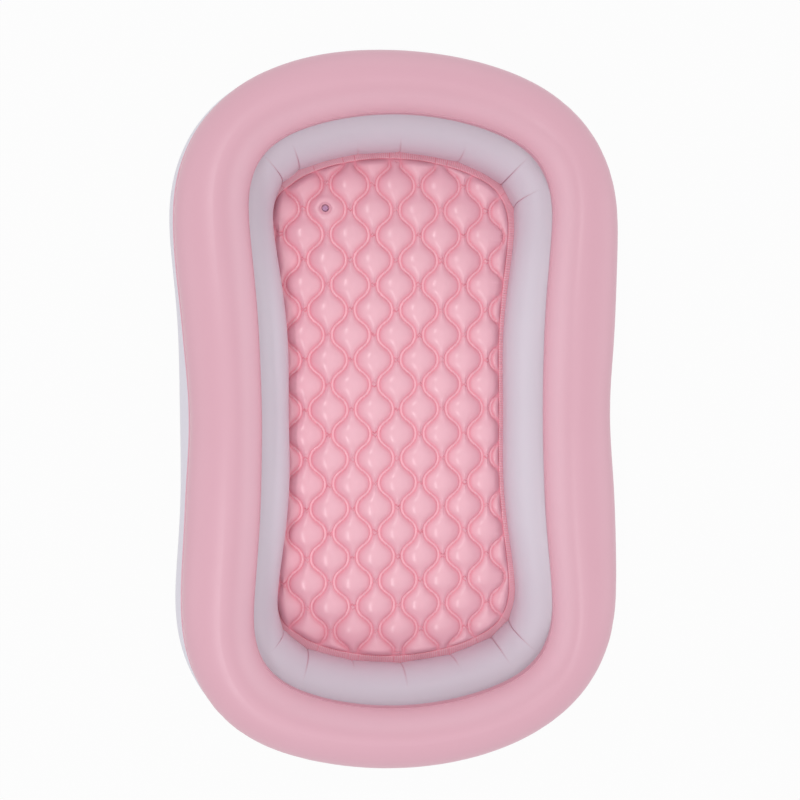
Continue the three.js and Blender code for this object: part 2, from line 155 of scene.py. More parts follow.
class ShaderTree:
    """Builds one material's nodes."""

    usual_spread: tuple[float, float] = (0.3, 0.7)

    def __init__(self, name: str) -> None:
        """Starts an empty material.

        Args:
            name: the material's name.
        """
        self.material = bpy.data.materials.new(name)
        self.material.use_nodes = True
        self.tree = self.material.node_tree
        self.tree.nodes.clear()
        self.output = self.node("ShaderNodeOutputMaterial")

    def node(self, kind: str, **settings: object) -> bpy.types.Node:
        """Adds a node and sets its named properties.

        Args:
            kind: Blender's name for the sort of node.
            settings: the node's properties, by name.

        Returns:
            The node.
        """
        made = self.tree.nodes.new(kind)
        for name, value in settings.items():
            setattr(made, name, value)
        return made

    def link(self, start: bpy.types.NodeSocket, end: bpy.types.NodeSocket) -> None:
        """Joins an output socket to an input socket."""
        self.tree.links.new(start, end)

    def noise(self, size: float, detail: float, roughness: float = 0.5) -> bpy.types.Node:
        """Adds noise in the object's own space.

        Args:
            size: how wide one spot of it is, in metres.
            detail: how many finer layers it has.
            roughness: how strong the finer layers are.

        Returns:
            The noise node.
        """
        place = self.node("ShaderNodeTexCoord")
        made = self.node("ShaderNodeTexNoise")
        made.inputs["Scale"].default_value = 1 / size
        made.inputs["Detail"].default_value = detail
        made.inputs["Roughness"].default_value = roughness
        self.link(place.outputs["Object"], made.inputs["Vector"])
        return made

    def ranged(self, source: bpy.types.NodeSocket, low: float, high: float) -> bpy.types.NodeSocket:
        """Maps a noise value from its usual spread to the span from low to high.

        Args:
            source: the noise value.
            low: the result at the low end of its spread.
            high: the result at the high end.

        Returns:
            The mapped value.
        """
        made = self.node("ShaderNodeMapRange")
        made.inputs["From Min"].default_value = self.usual_spread[0]
        made.inputs["From Max"].default_value = self.usual_spread[1]
        made.inputs["To Min"].default_value = low
        made.inputs["To Max"].default_value = high
        self.link(source, made.inputs["Value"])
        return made.outputs["Result"]

    def mixed(
        self,
        share: bpy.types.NodeSocket,
        first: Colour | bpy.types.NodeSocket,
        second: Colour,
    ) -> bpy.types.NodeSocket:
        """Mixes two colours by a share that a node gives.

        Args:
            share: how much of the second colour there is.
            first: a display colour, or the colour that another node gives.
            second: a display colour.

        Returns:
            The mixed colour.
        """
        made = self.node("ShaderNodeMix", data_type="RGBA")
        if isinstance(first, bpy.types.NodeSocket):
            self.link(first, made.inputs[MIX_FIRST])
        else:
            made.inputs[MIX_FIRST].default_value = linear(first)
        made.inputs[MIX_SECOND].default_value = linear(second)
        self.link(share, made.inputs["Factor"])
        return made.outputs[MIX_RESULT]


@dataclass(frozen=True)
class VinylFinish:
    """Soft inflated vinyl: an even colour with faint drifts of tone, a satin skin and a fine pressed grain.

    The deep colour is painted shade, in creases, crevices, folds, rib grooves and round the valve holes.
    The pale one is painted light, on the seams, the weld band and the upper ring's inner slope.
    """

    name: str
    colour: Colour
    drift_colour: Colour
    painted_shade_colour: Colour
    painted_light_colour: Colour
    roughness: float = 0.25
    roughness_drift: float = 0.02
    drift_size: float = 0.09
    grain_size: float = 0.0011
    grain_depth: float = 0.000012
    grain_roughness: float = 0.6
    ripple_size: float = 0.03
    ripple_depth: float = 0.0002
    wear_share: float = 1 / 3
    ior: float = 1.5

    def material(self) -> bpy.types.Material:
        """Makes the material.

        Returns:
            The finished material.
        """
        tree = ShaderTree(self.name)
        skin = tree.node("ShaderNodeBsdfPrincipled")
        drift = tree.noise(self.drift_size, 3)
        tone = tree.mixed(drift.outputs["Fac"], self.colour, self.drift_colour)
        # Painted shade where the attribute is above zero, and painted light where it is below
        painted_shading = tree.node("ShaderNodeAttribute", attribute_name=PAINTED_SHADING)
        painted_light_share = tree.node("ShaderNodeMath", operation="MULTIPLY")
        painted_light_share.inputs[1].default_value = -1.0
        tree.link(painted_shading.outputs["Fac"], painted_light_share.inputs[0])
        with_painted_shade = tree.mixed(painted_shading.outputs["Fac"], tone, self.painted_shade_colour)
        with_painted_light = tree.mixed(painted_light_share.outputs["Value"], with_painted_shade, self.painted_light_colour)
        tree.link(with_painted_light, skin.inputs["Base Color"])
        worn = tree.noise(self.drift_size * self.wear_share, 4)
        rough = tree.ranged(
            worn.outputs["Fac"],
            self.roughness - self.roughness_drift,
            self.roughness + self.roughness_drift,
        )
        tree.link(rough, skin.inputs["Roughness"])
        skin.inputs["IOR"].default_value = self.ior
        ripple = tree.noise(self.ripple_size, 2)
        swell = tree.node("ShaderNodeBump")
        swell.inputs["Distance"].default_value = self.ripple_depth
        tree.link(ripple.outputs["Fac"], swell.inputs["Height"])
        grain = tree.noise(self.grain_size, 2, self.grain_roughness)
        pressed = tree.node("ShaderNodeBump")
        pressed.inputs["Distance"].default_value = self.grain_depth
        tree.link(grain.outputs["Fac"], pressed.inputs["Height"])
        tree.link(swell.outputs["Normal"], pressed.inputs["Normal"])
        tree.link(pressed.outputs["Normal"], skin.inputs["Normal"])
        tree.link(skin.outputs["BSDF"], tree.output.inputs["Surface"])
        return tree.material


@dataclass(frozen=True)
class ClearFinish:
    """Clear moulded vinyl with a faint violet cast, a little clouded inside."""

    name: str
    colour: Colour
    roughness: float = 0.2
    clearness: float = 0.3
    cloud_size: float = 0.003
    cloud_paleness: float = 1.12
    roughness_drift_share: float = 0.3
    grain_depth: float = 0.00003
    ior: float = 1.52

    def material(self) -> bpy.types.Material:
        """Makes the material.

        Returns:
            The finished material.
        """
        tree = ShaderTree(self.name)
        skin = tree.node("ShaderNodeBsdfPrincipled")
        cloud = tree.noise(self.cloud_size, 3)
        paler = tuple(min(1.0, value * self.cloud_paleness) for value in self.colour)
        tree.link(tree.mixed(cloud.outputs["Fac"], self.colour, paler), skin.inputs["Base Color"])
        drift = self.roughness * self.roughness_drift_share
        rough = tree.ranged(cloud.outputs["Fac"], self.roughness - drift, self.roughness + drift)
        tree.link(rough, skin.inputs["Roughness"])
        skin.inputs["IOR"].default_value = self.ior
        skin.inputs["Transmission Weight"].default_value = self.clearness
        bump = tree.node("ShaderNodeBump")
        bump.inputs["Distance"].default_value = self.grain_depth
        tree.link(cloud.outputs["Fac"], bump.inputs["Height"])
        tree.link(bump.outputs["Normal"], skin.inputs["Normal"])
        tree.link(skin.outputs["BSDF"], tree.output.inputs["Surface"])
        return tree.material


@dataclass(frozen=True)
class Piece:
    """How a finished mesh joins the pool: what it rides on, what it stands for and its finish."""

    body: str
    slot: Slot
    material: bpy.types.Material
    stands_for: tuple[str, ...] = ()

    def dress(self, thing: bpy.types.Object) -> bpy.types.Object:
        """Gives an object its finish and its place among the moving bodies.

        Args:
            thing: the object, already in place.

        Returns:
            The same object.
        """
        thing.data.materials.clear()
        thing.data.materials.append(self.material)
        if "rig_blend" not in thing:
            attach(thing, self.body)
        if self.stands_for:
            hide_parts(*self.stands_for)
        log.info("%s rides on %s, %d faces", thing.name, self.body, len(thing.data.polygons))
        return thing


# Meshes


def mesh_object(
    name: str,
    places: Array,
    faces: Sequence[Sequence[int]],
    crease_angle: float = 50,
    painted_shading: Array | None = None,
) -> bpy.types.Object:
    """Makes a smooth mesh object whose faces all turn outwards.

    Args:
        name: the piece's name.
        places: its vertices, one row each.
        faces: the vertex numbers of each face.
        crease_angle: the angle in degrees above which an edge stays sharp.
        painted_shading: how much painted shade each vertex has, or below zero how much painted light.

    Returns:
        The object, linked to the scene.
    """
    mesh = bpy.data.meshes.new(name)
    mesh.from_pydata(places.tolist(), [], faces)
    if painted_shading is not None:
        layer = mesh.attributes.new(PAINTED_SHADING, "FLOAT", "POINT")
        layer.data.foreach_set("value", np.clip(painted_shading, -1, 1).astype(np.float32))
    built = bmesh.new()
    built.from_mesh(mesh)
    bmesh.ops.recalc_face_normals(built, faces=built.faces)
    built.to_mesh(mesh)
    built.free()
    mesh.polygons.foreach_set("use_smooth", [True] * len(mesh.polygons))
    mesh.set_sharp_from_angle(angle=math.radians(crease_angle))
    mesh.update()
    thing = bpy.data.objects.new(name, mesh)
    bpy.context.scene.collection.objects.link(thing)
    return thing


def ring_faces(rows: int, columns: int) -> list[tuple[int, int, int, int]]:
    """Faces of a grid that closes on itself both ways.

    Args:
        rows: how many rows of vertices it has.
        columns: how many vertices are in each row.

    Returns:
        The vertex numbers of each face.
    """
    row, column = np.meshgrid(np.arange(rows), np.arange(columns), indexing="ij")
    next_row = (row + 1) % rows
    next_column = (column + 1) % columns
    corners = (
        row * columns + column,
        row * columns + next_column,
        next_row * columns + next_column,
        next_row * columns + column,
    )
    return list(zip(*(corner.ravel().tolist() for corner in corners)))


# The rings' plan and their sections


@dataclass(frozen=True)
class Swell:
    """A stretch of a ring that stands a little further out, or in, than its mirror image does."""

    bearing: float
    spread: float
    height: float

    def at(self, bearing: Array) -> Array:
        """How much it adds at each bearing in radians."""
        apart = (np.degrees(bearing) - self.bearing + 180) % 360 - 180
        return self.height * np.exp(-((apart / self.spread) ** 2))


@dataclass(frozen=True)
class Reach:
    """How far something stands off the joint line: at mid side, shoulder, corner and mid end of each quarter.

    A sum of even cosines runs smoothly through the four.
    """

    side: float
    shoulder: float
    corner: float
    end: float
    swells: tuple[Swell, ...] = ()

    def at(self, line: "Stations") -> Array:
        """The reach at each station.

        Args:
            line: the stations.

        Returns:
            The reach, one column.
        """
        mean = (self.side + 2 * self.shoulder + 2 * self.corner + self.end) / 6
        second = (self.side + self.shoulder - self.corner - self.end) / 3
        fourth = (self.side - self.shoulder - self.corner + self.end) / 3
        sixth = (self.side - 2 * self.shoulder + 2 * self.corner - self.end) / 6
        waves = (mean, second, fourth, sixth)
        reach = sum(wave * np.cos(2 * order * line.bearing) for order, wave in enumerate(waves))
        return (reach + sum(swell.at(line.bearing) for swell in self.swells))[:, None]


@dataclass(frozen=True)
class Stations:
    """Places round the joint line, with what each one's section needs."""

    bearing: Array
    point: Array
    outward: Array
    travelled: Array
    bend: Array

    def placed(self, offset: Array, height: Array) -> Array:
        """Turns section points into places in the pool.

        Args:
            offset: how far each point stands out of the joint line, by station and column.
            height: its height above the ground.

        Returns:
            The places, by station, column and axis.
        """
        plan = self.point[:, None, :] + offset[:, :, None] * self.outward[:, None, :]
        return np.concatenate([plan, np.broadcast_to(height, offset.shape)[:, :, None]], axis=2)


@dataclass(frozen=True)
class JointLine:
    """The line where the rings are joined, seen from above: an oblong with round ends and waisted sides.

    It is a closed cubic spline, pulled by guide points that stand off the waist's half width at shares of the
    half length.
    """

    half_length: float
    half_width: float
    side_guides: tuple[tuple[float, float], ...] = (
        (0.004, 0),
        (-0.008, 0.27),
        (0.012, 0.54),
        (0.017, 0.725),
        (-0.051, 0.94),
    )
    end_guide: float = 0.018
    samples_per_guide: int = 360

    @property
    def guides(self) -> Array:
        """The guide points all round the pool, from the middle of one side.

        Returns:
            The points, one row each.
        """
        quarter = [(self.half_width + out, share * self.half_length) for out, share in self.side_guides]
        mirrored = [(-x, y) for x, y in reversed(quarter[1:])]
        half = np.array([*quarter, (0, self.half_length + self.end_guide), *mirrored])
        return np.concatenate([half, -half])

    def trace(self) -> tuple[Array, Array, Array]:
        """Traces the line closely, from the middle of one side.

        Returns:
            Its places, its outward directions and its bend at each.
        """
        guides = self.guides
        rest = np.arange(self.samples_per_guide)[:, None] / self.samples_per_guide
        left = 1 - rest
        places, along, turning = [], [], []
        for start in range(len(guides)):
            a, b, c, d = (guides[(start + step) % len(guides)] for step in (-1, 0, 1, 2))
            places.append((a * left**3 + b * (3 * rest**3 - 6 * rest**2 + 4)
                           + c * (3 * left**3 - 6 * left**2 + 4) + d * rest**3) / 6)
            along.append((-a * left**2 + b * (3 * rest**2 - 4 * rest) - c * (3 * left**2 - 4 * left)
                          + d * rest**2) / 2)
            turning.append(a * left + b * (3 * rest - 2) + c * (3 * left - 2) + d * rest)
        place, speed, turn = (np.concatenate(parts) for parts in (places, along, turning))
        length = np.linalg.norm(speed, axis=1)
        outward = np.stack([speed[:, 1], -speed[:, 0]], axis=1) / length[:, None]
        bend = (speed[:, 0] * turn[:, 1] - speed[:, 1] * turn[:, 0]) / length**3
        return place, outward, bend

    def travelled(self) -> Array:
        """How far along the line each traced place is.

        Returns:
            The distances, with the whole length last.
        """
        place = self.trace()[0]
        steps = np.linalg.norm(np.roll(place, -1, axis=0) - place, axis=1)
        return np.concatenate([[0], np.cumsum(steps)])

    @property
    def length(self) -> float:
        """The distance once round."""
        return float(self.travelled()[-1])

    def travel_to(self, bearing: float) -> float:
        """How far along the line a bearing is.

        Args:
            bearing: the direction from the pool's middle, in degrees.

        Returns:
            The distance from the middle of one side.
        """
        place = self.trace()[0]
        bearings = np.degrees(np.arctan2(place[:, 1], place[:, 0])) % 360
        return float(np.interp(bearing, bearings, self.travelled()[:-1]))

    def stations(
        self,
        pitch: float,
        close_to: Sequence[float] = (),
        closeness: float = 6,
        window: float = 0.008,
    ) -> Stations:
        """Spaces stations along the line.

        Args:
            pitch: the usual distance between them.
            close_to: bearings in degrees near which they stand closer together.
            closeness: how many times closer they stand there.
            window: how far from such a bearing that holds.

        Returns:
            The stations, once round the pool.
        """
        travelled = self.travelled()
        density = np.full(len(travelled) - 1, 1 / pitch)
        for bearing in close_to:
            apart = (travelled[:-1] - self.travel_to(bearing)) / window
            density += closeness / pitch * np.exp(-(apart**2))
        counted = np.concatenate([[0], np.cumsum(density * np.diff(travelled))])
        count = round(counted[-1])
        chosen = np.interp(np.arange(count) / count * counted[-1], counted, travelled)
        place, outward, bend = (np.concatenate([part, part[:1]]) for part in self.trace())
        point = np.stack([np.interp(chosen, travelled, place[:, axis]) for axis in (0, 1)], axis=1)
        turned = np.stack([np.interp(chosen, travelled, outward[:, axis]) for axis in (0, 1)], axis=1)
        turned /= np.linalg.norm(turned, axis=1)[:, None]
        bearing = np.arctan2(point[:, 1], point[:, 0])
        return Stations(bearing, point, turned, chosen, np.interp(chosen, travelled, bend))


Section = tuple[Array, Array]


def arc(
    middle: Array,
    height: float,
    out: Array,
    up: float,
    start: float,
    stop: float,
    count: int,
    fullness: float = 2.0,
) -> Section:
    """Part of an ellipse, or of a fuller round, in each station's section.

    Args:
        middle: the ellipse's middle, off the joint line, one column.
        height: the middle's height.
        out: half its width, one column.
        up: half its height.
        start: the first angle in degrees.
        stop: the last angle in degrees.
        count: how many points.
        fullness: two for an ellipse, and more for a squarer round.

    Returns:
        The offsets and the heights.
    """
    turn = np.radians(np.linspace(start, stop, count))[None, :]
    across, rise = np.cos(turn), np.sin(turn)
    across, rise = (np.sign(part) * np.abs(part) ** (2 / fullness) for part in (across, rise))
    return middle + out * across, height + up * rise + 0 * out


def joined(*parts: Section) -> Section:
    """Joins stretches of a section end to end."""
    offsets, heights = zip(*parts)
    return np.concatenate(offsets, axis=1), np.concatenate(heights, axis=1)


def flat(start: Array, stop: Array, height: float, count: int) -> Section:
    """A level stretch of a section, with evenly spaced points.

    Args:
        start: the first offset, one column.
        stop: the last offset, one column.
        height: the stretch's height.
        count: how many points.

    Returns:
        The offsets and the heights.
    """
    share = np.linspace(0, 1, count)[None, :]
    offset = start * (1 - share) + stop * share
    return offset, np.full(offset.shape, height)


@dataclass(frozen=True)
class Puckers:
    """Small creases that run square out of a seam where the film has been gathered by a bend."""

    pitch: float
    depth: float
    width: float
    reach: float
    seed: int
    everywhere: float = 0.0
    full_bend: float = 4.0
    place_share: float = 0.7
    strength_shares: tuple[float, float] = (0.25, 1)
    length_shares: tuple[float, float] = (0.5, 1.2)
    width_shares: tuple[float, float] = (0.7, 1.3)
    widths_felt: float = 4

    def depths(self, line: Stations, distance: Array, around: float) -> Array:
        """How far the creases draw the film in.

        Args:
            line: the film's stations.
            distance: how far each point is from the seam, by station and column.
            around: the joint line's length.

        Returns:
            The depth at each point.
        """
        chance = np.random.default_rng(self.seed)
        count = round(around / self.pitch)
        total = np.zeros(distance.shape)
        gathered = np.clip(line.bend / self.full_bend, self.everywhere, 1)
        for number in range(count):
            centre = (number + self.place_share * (chance.random() - 0.5)) * self.pitch
            strength = chance.uniform(*self.strength_shares)
            length = self.reach * chance.uniform(*self.length_shares)
            width = self.width * chance.uniform(*self.width_shares)
            apart = np.abs(line.travelled - centre)
            apart = np.minimum(apart, around - apart)
            near = apart < self.widths_felt * width
            if not near.any():
                continue
            ridge = strength * gathered[near] * np.exp(-apart[near] / width)
            total[near] += ridge[:, None] * np.exp(-((distance[near] / length) ** 2))
        return self.depth * total


@dataclass(frozen=True)
class Crease:
    """One crease that runs up the white wall from the floor's weld band."""

    bearing: float
    depth: float
    spread: float
    rise: float
    lean: float = 0.0


class Film:
    """One welded film as two matching grids of places, its outer face and its air side."""

    def __init__(self, line: Stations, outer: Section, air: Section) -> None:
        """Places both faces of the film round the pool.

        Args:
            line: the film's stations.
            outer: the section of the face that shows.
            air: the section of its air side.
        """
        self.line = line
        self.outer = line.placed(*outer)
        self.air = line.placed(*air)
        # Painted shade at each point, and below zero painted light
        self.painted_shading = np.zeros(self.outer.shape[:2])

    def normals(self) -> Array:
        """The outer face's own directions.

        Returns:
            A direction away from the air side at each point.
        """
        along = np.roll(self.outer, -1, axis=0) - np.roll(self.outer, 1, axis=0)
        across = np.gradient(self.outer, axis=1)
        normal = np.cross(along, across)
        normal /= np.linalg.norm(normal, axis=2)[:, :, None] + NEARLY_ZERO
        side = np.sum(normal * (self.outer - self.air), axis=2).mean()
        return normal if side > 0 else -normal

    def across(self, column: int) -> Array:
        """How far each point is along its section from one of the section's points.

        Args:
            column: the number of that point.

        Returns:
            The distances, by station and column.
        """
        steps = np.linalg.norm(np.diff(self.outer, axis=1), axis=2)
        travelled = np.concatenate([np.zeros((len(steps), 1)), np.cumsum(steps, axis=1)], axis=1)
        return np.abs(travelled - travelled[:, column][:, None])

    def push(self, amount: Array) -> None:
        """Moves both faces outwards.

        Args:
            amount: how far, at each point.
        """
        shift = self.normals() * amount[:, :, None]
        self.outer = self.outer + shift
        self.air = self.air + shift

    def slide(self, amount: Array) -> None:
        """Moves both faces level, away from the joint line's inside.

        Args:
            amount: how far, at each point.
        """
        outward = np.column_stack([self.line.outward, np.zeros(len(self.line.outward))])
        shift = outward[:, None, :] * amount[:, :, None]
        self.outer = self.outer + shift
        self.air = self.air + shift

    def flatten(self, valve: "ValvePlace", land: float, fade: float) -> None:
        """Draws the film flat round a valve, which is welded to it there.

        Args:
            valve: the valve's place.
            land: the radius of the flat.
            fade: the radius at which the film has its own shape again.
        """
        for grid in (self.outer, self.air):
            local = grid - np.array(valve.origin)
            height = local @ np.array(valve.out)
            radius = np.linalg.norm(local - height[:, :, None] * np.array(valve.out), axis=2)
            share = np.clip((radius - land) / (fade - land), 0, 1)
            hold = 1 - share * share * (3 - 2 * share)
            hold[np.abs(height) > fade] = 0
            level = 0.0 if grid is self.outer else -FILM
            grid -= (hold * (height - level))[:, :, None] * np.array(valve.out)

    def mesh(self, name: str, hole: "ValvePlace | None" = None, hole_radius: float = 0.0) -> bpy.types.Object:
        """Makes the film's closed mesh.

        Args:
            name: the piece's name.
            hole: the valve that goes through it, where there is one.
            hole_radius: how wide the film is cut for it.

        Returns:
            The object.
        """
        rows, columns = self.outer.shape[:2]
        loops = np.concatenate([self.outer, self.air[:, ::-1]], axis=1)
        places = loops.reshape(-1, 3)
        faces = ring_faces(rows, 2 * columns)
        painted_shading = np.concatenate([self.painted_shading, self.painted_shading[:, ::-1]], axis=1).ravel()
        if hole is None:
            return mesh_object(name, places, faces, painted_shading=painted_shading)
        local = places - np.array(hole.origin)
        height = local @ np.array(hole.out)
        radius = np.linalg.norm(local - height[:, None] * np.array(hole.out), axis=1)
        cut = (radius < hole_radius) & (np.abs(height) < hole_radius)
        kept = [face for face in faces if not any(cut[corner] for corner in face)]
        thing = mesh_object(name, places, kept, painted_shading=painted_shading)
        close_rims(thing, cut, hole, hole_radius)
        return thing


def close_rims(thing: bpy.types.Object, cut: Array, valve: "ValvePlace", radius: float) -> None:
    """Drops the cut vertices of a film, rounds the cut's rims and joins its two faces there.

    Args:
        thing: the film's object, with the faces of the cut left out.
        cut: which of its vertices lie in the cut.
        valve: the valve in the middle of the cut.
        radius: how far from the valve's axis the rims are drawn in to.
    """
    built = bmesh.new()
    built.from_mesh(thing.data)
    built.verts.ensure_lookup_table()
    loose = [vertex for vertex in built.verts if cut[vertex.index]]
    bmesh.ops.delete(built, geom=loose, context="VERTS")
    open_edges = [edge for edge in built.edges if edge.is_boundary]
    for vertex in {end for edge in open_edges for end in edge.verts}:
        local = vertex.co - valve.origin
        height = local.dot(valve.out) * valve.out
        vertex.co = valve.origin + height + (local - height).normalized() * radius
    bmesh.ops.bridge_loops(built, edges=open_edges)
    bmesh.ops.recalc_face_normals(built, faces=built.faces)
    built.to_mesh(thing.data)
    built.free()


@dataclass(frozen=True)
class ValvePlace:
    """Where a valve sits: the middle of its hole on the film's outer face, and its own directions."""

    origin: Vector
    out: Vector
    side: Vector

    @classmethod
    def of(cls, body: Body, hinge_inset: Vector) -> "ValvePlace":
        """Finds a valve's place from the frame's joints.

        Args:
            body: which valve.
            hinge_inset: where its flap's hinge is, in the valve's own directions.

        Returns:
            The valve's place.
        """
        joints = {joint["name"]: joint for joint in frame["joints"]}
        out = Vector(joints[f"{body.value}_neck_pop_out"]["axis"]).normalized()
        flap = joints[f"{body.value}_flap_open"]
        across = Vector(flap["axis"]).normalized()
        side = across.cross(out).normalized()
        hinge = Vector(flap["pos_m"])
        origin = hinge - side * hinge_inset.x - across * hinge_inset.y - out * hinge_inset.z
        return cls(origin, out, side)

    @property
    def bearing(self) -> float:
        """Its bearing from the middle of the pool, in degrees."""
        return math.degrees(math.atan2(self.origin.y, self.origin.x)) % 360

    @property
    def matrix(self) -> Matrix:
        """What turns the valve's own places into the pool's.

        Returns:
            The move and turn as one matrix.
        """
        across = self.out.cross(self.side)
        turn = Matrix((self.side, across, self.out)).transposed().to_4x4()
        return Matrix.Translation(self.origin) @ turn


# The two rings and the floor


@dataclass
class UpperRing:
    """The narrow pink ring on top: two sheets, welded along an outer and an inner seam."""

    plan: JointLine
    finish: VinylFinish
    valve: ValvePlace
    # Each swell's bearing and spread are in degrees, and its height in metres
    outer_reach: Reach = Reach(
        side=0.054,
        shoulder=0.065,
        corner=0.043,
        end=0.040,
        swells=(
            Swell(60, 10, -0.005),
            Swell(135, 12, 0.007),
            Swell(105, 12, 0.005),
            Swell(300, 12, -0.010),
            Swell(225, 10, 0.004),
        ),
    )
    inner_reach: Reach = Reach(side=0.060, shoulder=0.053, corner=0.058, end=0.055)
    height: float = 0.245
    crest_lean: float = 0.010
    inner_count: int = 21
    inner_fullness: float = 1.85
    # Where the painted light on the inner slope starts and how far it runs, as shares of that slope
    painted_light_start: float = 0.2
    painted_light_run: float = 0.5
    outer_margin: float = 0.0028
    inner_margin: float = 0.0013
    pitch: float = 0.005
    seam_pitch: float = 0.0012
    rib_pitch: float = 0.0034
    rib_depth: float = 0.00022
    sway_share: float = 0.6
    sway_ribs: float = 7.3
    seam_shares: tuple[float, ...] = (0.1, 0.35, 0.6, 0.85, 1.0)
    seam_films: tuple[float, ...] = (1.2, 1.5, 1.5, 1.45, 1.1)
    seam_wave_shares: tuple[float, ...] = (0.0, 1.0, 1.0, 1.0, 0.6)
    # How much painted light the seams have
    seam_painted_light: float = -0.2
    seam_column: int = 3
    joint_columns: tuple[int, int] = (14, 18)
    valve_closeness: float = 4
    valve_hole: float = 0.0098
    valve_land: float = 0.0165
    valve_fade: float = 0.036
    outer_puckers: Puckers = Puckers(pitch=0.017, depth=0.0016, width=0.0045, reach=0.022, seed=3)
    joint_puckers: Puckers = Puckers(
        pitch=0.026, depth=0.0024, width=0.007, reach=0.030, seed=5, everywhere=0.25
    )

    def top_section(self, line: Stations, depth: float) -> Section:
        """The top sheet's section, from the outer seam over the crest to the inner one.

        Args:
            line: the sheet's stations.
            depth: how far it lies under the face that shows.

        Returns:
            The offsets and the heights.
        """
        outer, inner = self.outer_reach.at(line), self.inner_reach.at(line)
        seam = SEAM_HEIGHT + FILM - depth
        rise = self.height - SEAM_HEIGHT - FILM
        crest = (outer - inner) / 2 - self.crest_lean
        return joined(
            flat(outer + self.outer_margin, outer + self.outer_margin / 4, seam, 3),
            arc(crest, seam, outer - crest - depth, rise, 0, 90, 19),
            arc(crest, seam, inner + crest - depth, rise, 90, 180, self.inner_count, self.inner_fullness),
            flat(-inner - self.inner_margin / 4, -inner - self.inner_margin, seam, 2),
        )

    def underside_section(self, line: Stations, depth: float) -> Section:
        """The underside sheet's section, from the outer seam under the ring to the inner one.

        Args:
            line: the sheet's stations.
            depth: how far it lies behind the face that shows.

        Returns:
            The offsets and the heights.
        """
        outer, inner = self.outer_reach.at(line), self.inner_reach.at(line)
        half = JOINT_MARGIN / 2 + 0 * outer
        seam = SEAM_HEIGHT - FILM + depth
        drop = JOINT_HEIGHT - SEAM_HEIGHT + FILM
        return joined(
            flat(outer + self.outer_margin, outer + self.outer_margin / 4, seam, 3),
            arc(half, seam, outer - depth - half, drop, 0, 90, 12),
            flat(half / 2, -half / 2, JOINT_HEIGHT + depth, 3),
            arc(-half, seam, inner - depth - half, drop, 90, 180, 12),
            flat(-inner - self.inner_margin / 4, -inner - self.inner_margin, seam, 2),
        )

    def build(self) -> None:
        """Makes and dresses both sheets and both seams."""
        line = self.plan.stations(self.pitch, [self.valve.bearing], self.valve_closeness, self.valve_fade)
        material = self.finish.material()
        top = Film(line, self.top_section(line, 0), self.top_section(line, FILM))
        top.push(-self.outer_puckers.depths(line, top.across(self.seam_column), self.plan.length))
        # Painted light on the inner slope, growing towards the inner seam, and full painted light on the seam's
        # flat
        down = np.clip((np.linspace(0, 1, self.inner_count) - self.painted_light_start) / self.painted_light_run, 0, 1)
        first = top.painted_shading.shape[1] - self.inner_count - 2
        top.painted_shading[:, first:-2] -= down * down * (3 - 2 * down)
        top.painted_shading[:, -2:] -= 1
        piece = Piece(Body.SHELL.value, Slot.PINK_RING, material, ("upper_ring_top_sheet",))
        piece.dress(top.mesh("upper_ring_top_film"))
        under = Film(line, self.underside_section(line, 0), self.underside_section(line, FILM))
        start, stop = self.joint_columns
        gathers = self.outer_puckers.depths(line, under.across(self.seam_column), self.plan.length)
        gathers += self.joint_puckers.depths(line, under.across(start), self.plan.length)
        gathers[:, start:stop] = 0
        under.push(-gathers)
        under.flatten(self.valve, self.valve_land, self.valve_fade)
        piece = Piece(Body.SHELL.value, Slot.PINK_RING, material, ("upper_ring_underside_sheet",))
        piece.dress(under.mesh("upper_ring_underside_film", self.valve, self.valve_hole))
        self.seam("upper_ring_outer_seam", self.outer_reach, 1, self.outer_margin, material)
        self.seam("upper_ring_inner_seam", self.inner_reach, -1, self.inner_margin, material)

    def seam(self, name: str, reach: Reach, side: int, margin: float, material: bpy.types.Material) -> None:
        """Makes one welded seam edge with its pressed ribs.

        Args:
            name: the piece's name.
            reach: where the ring's edge is.
            side: one for the outer edge, minus one for the inner.
            margin: how wide the seam is.
            material: its finish.
        """
        line = self.plan.stations(self.seam_pitch)
        edge = reach.at(line)
        ribs = self.rib_depth * np.cos(2 * math.pi * line.travelled / self.rib_pitch)
        sway = np.sin(2 * math.pi * line.travelled / (self.sway_ribs * self.rib_pitch))
        sway = self.sway_share * self.rib_depth * sway
        share = np.array(self.seam_shares)[None, :]
        lift = FILM * np.array(self.seam_films)[None, :]
        offset = side * (edge + margin * share)
        wave = (ribs / 2 + sway)[:, None] * np.array(self.seam_wave_shares)[None, :]
        film = Film(line, (offset, SEAM_HEIGHT + lift + wave), (offset, SEAM_HEIGHT - lift + wave))
        # Painted light: the seam is drawn paler
        film.painted_shading += self.seam_painted_light
        Piece(Body.SHELL.value, Slot.PINK_RING, material).dress(film.mesh(name))


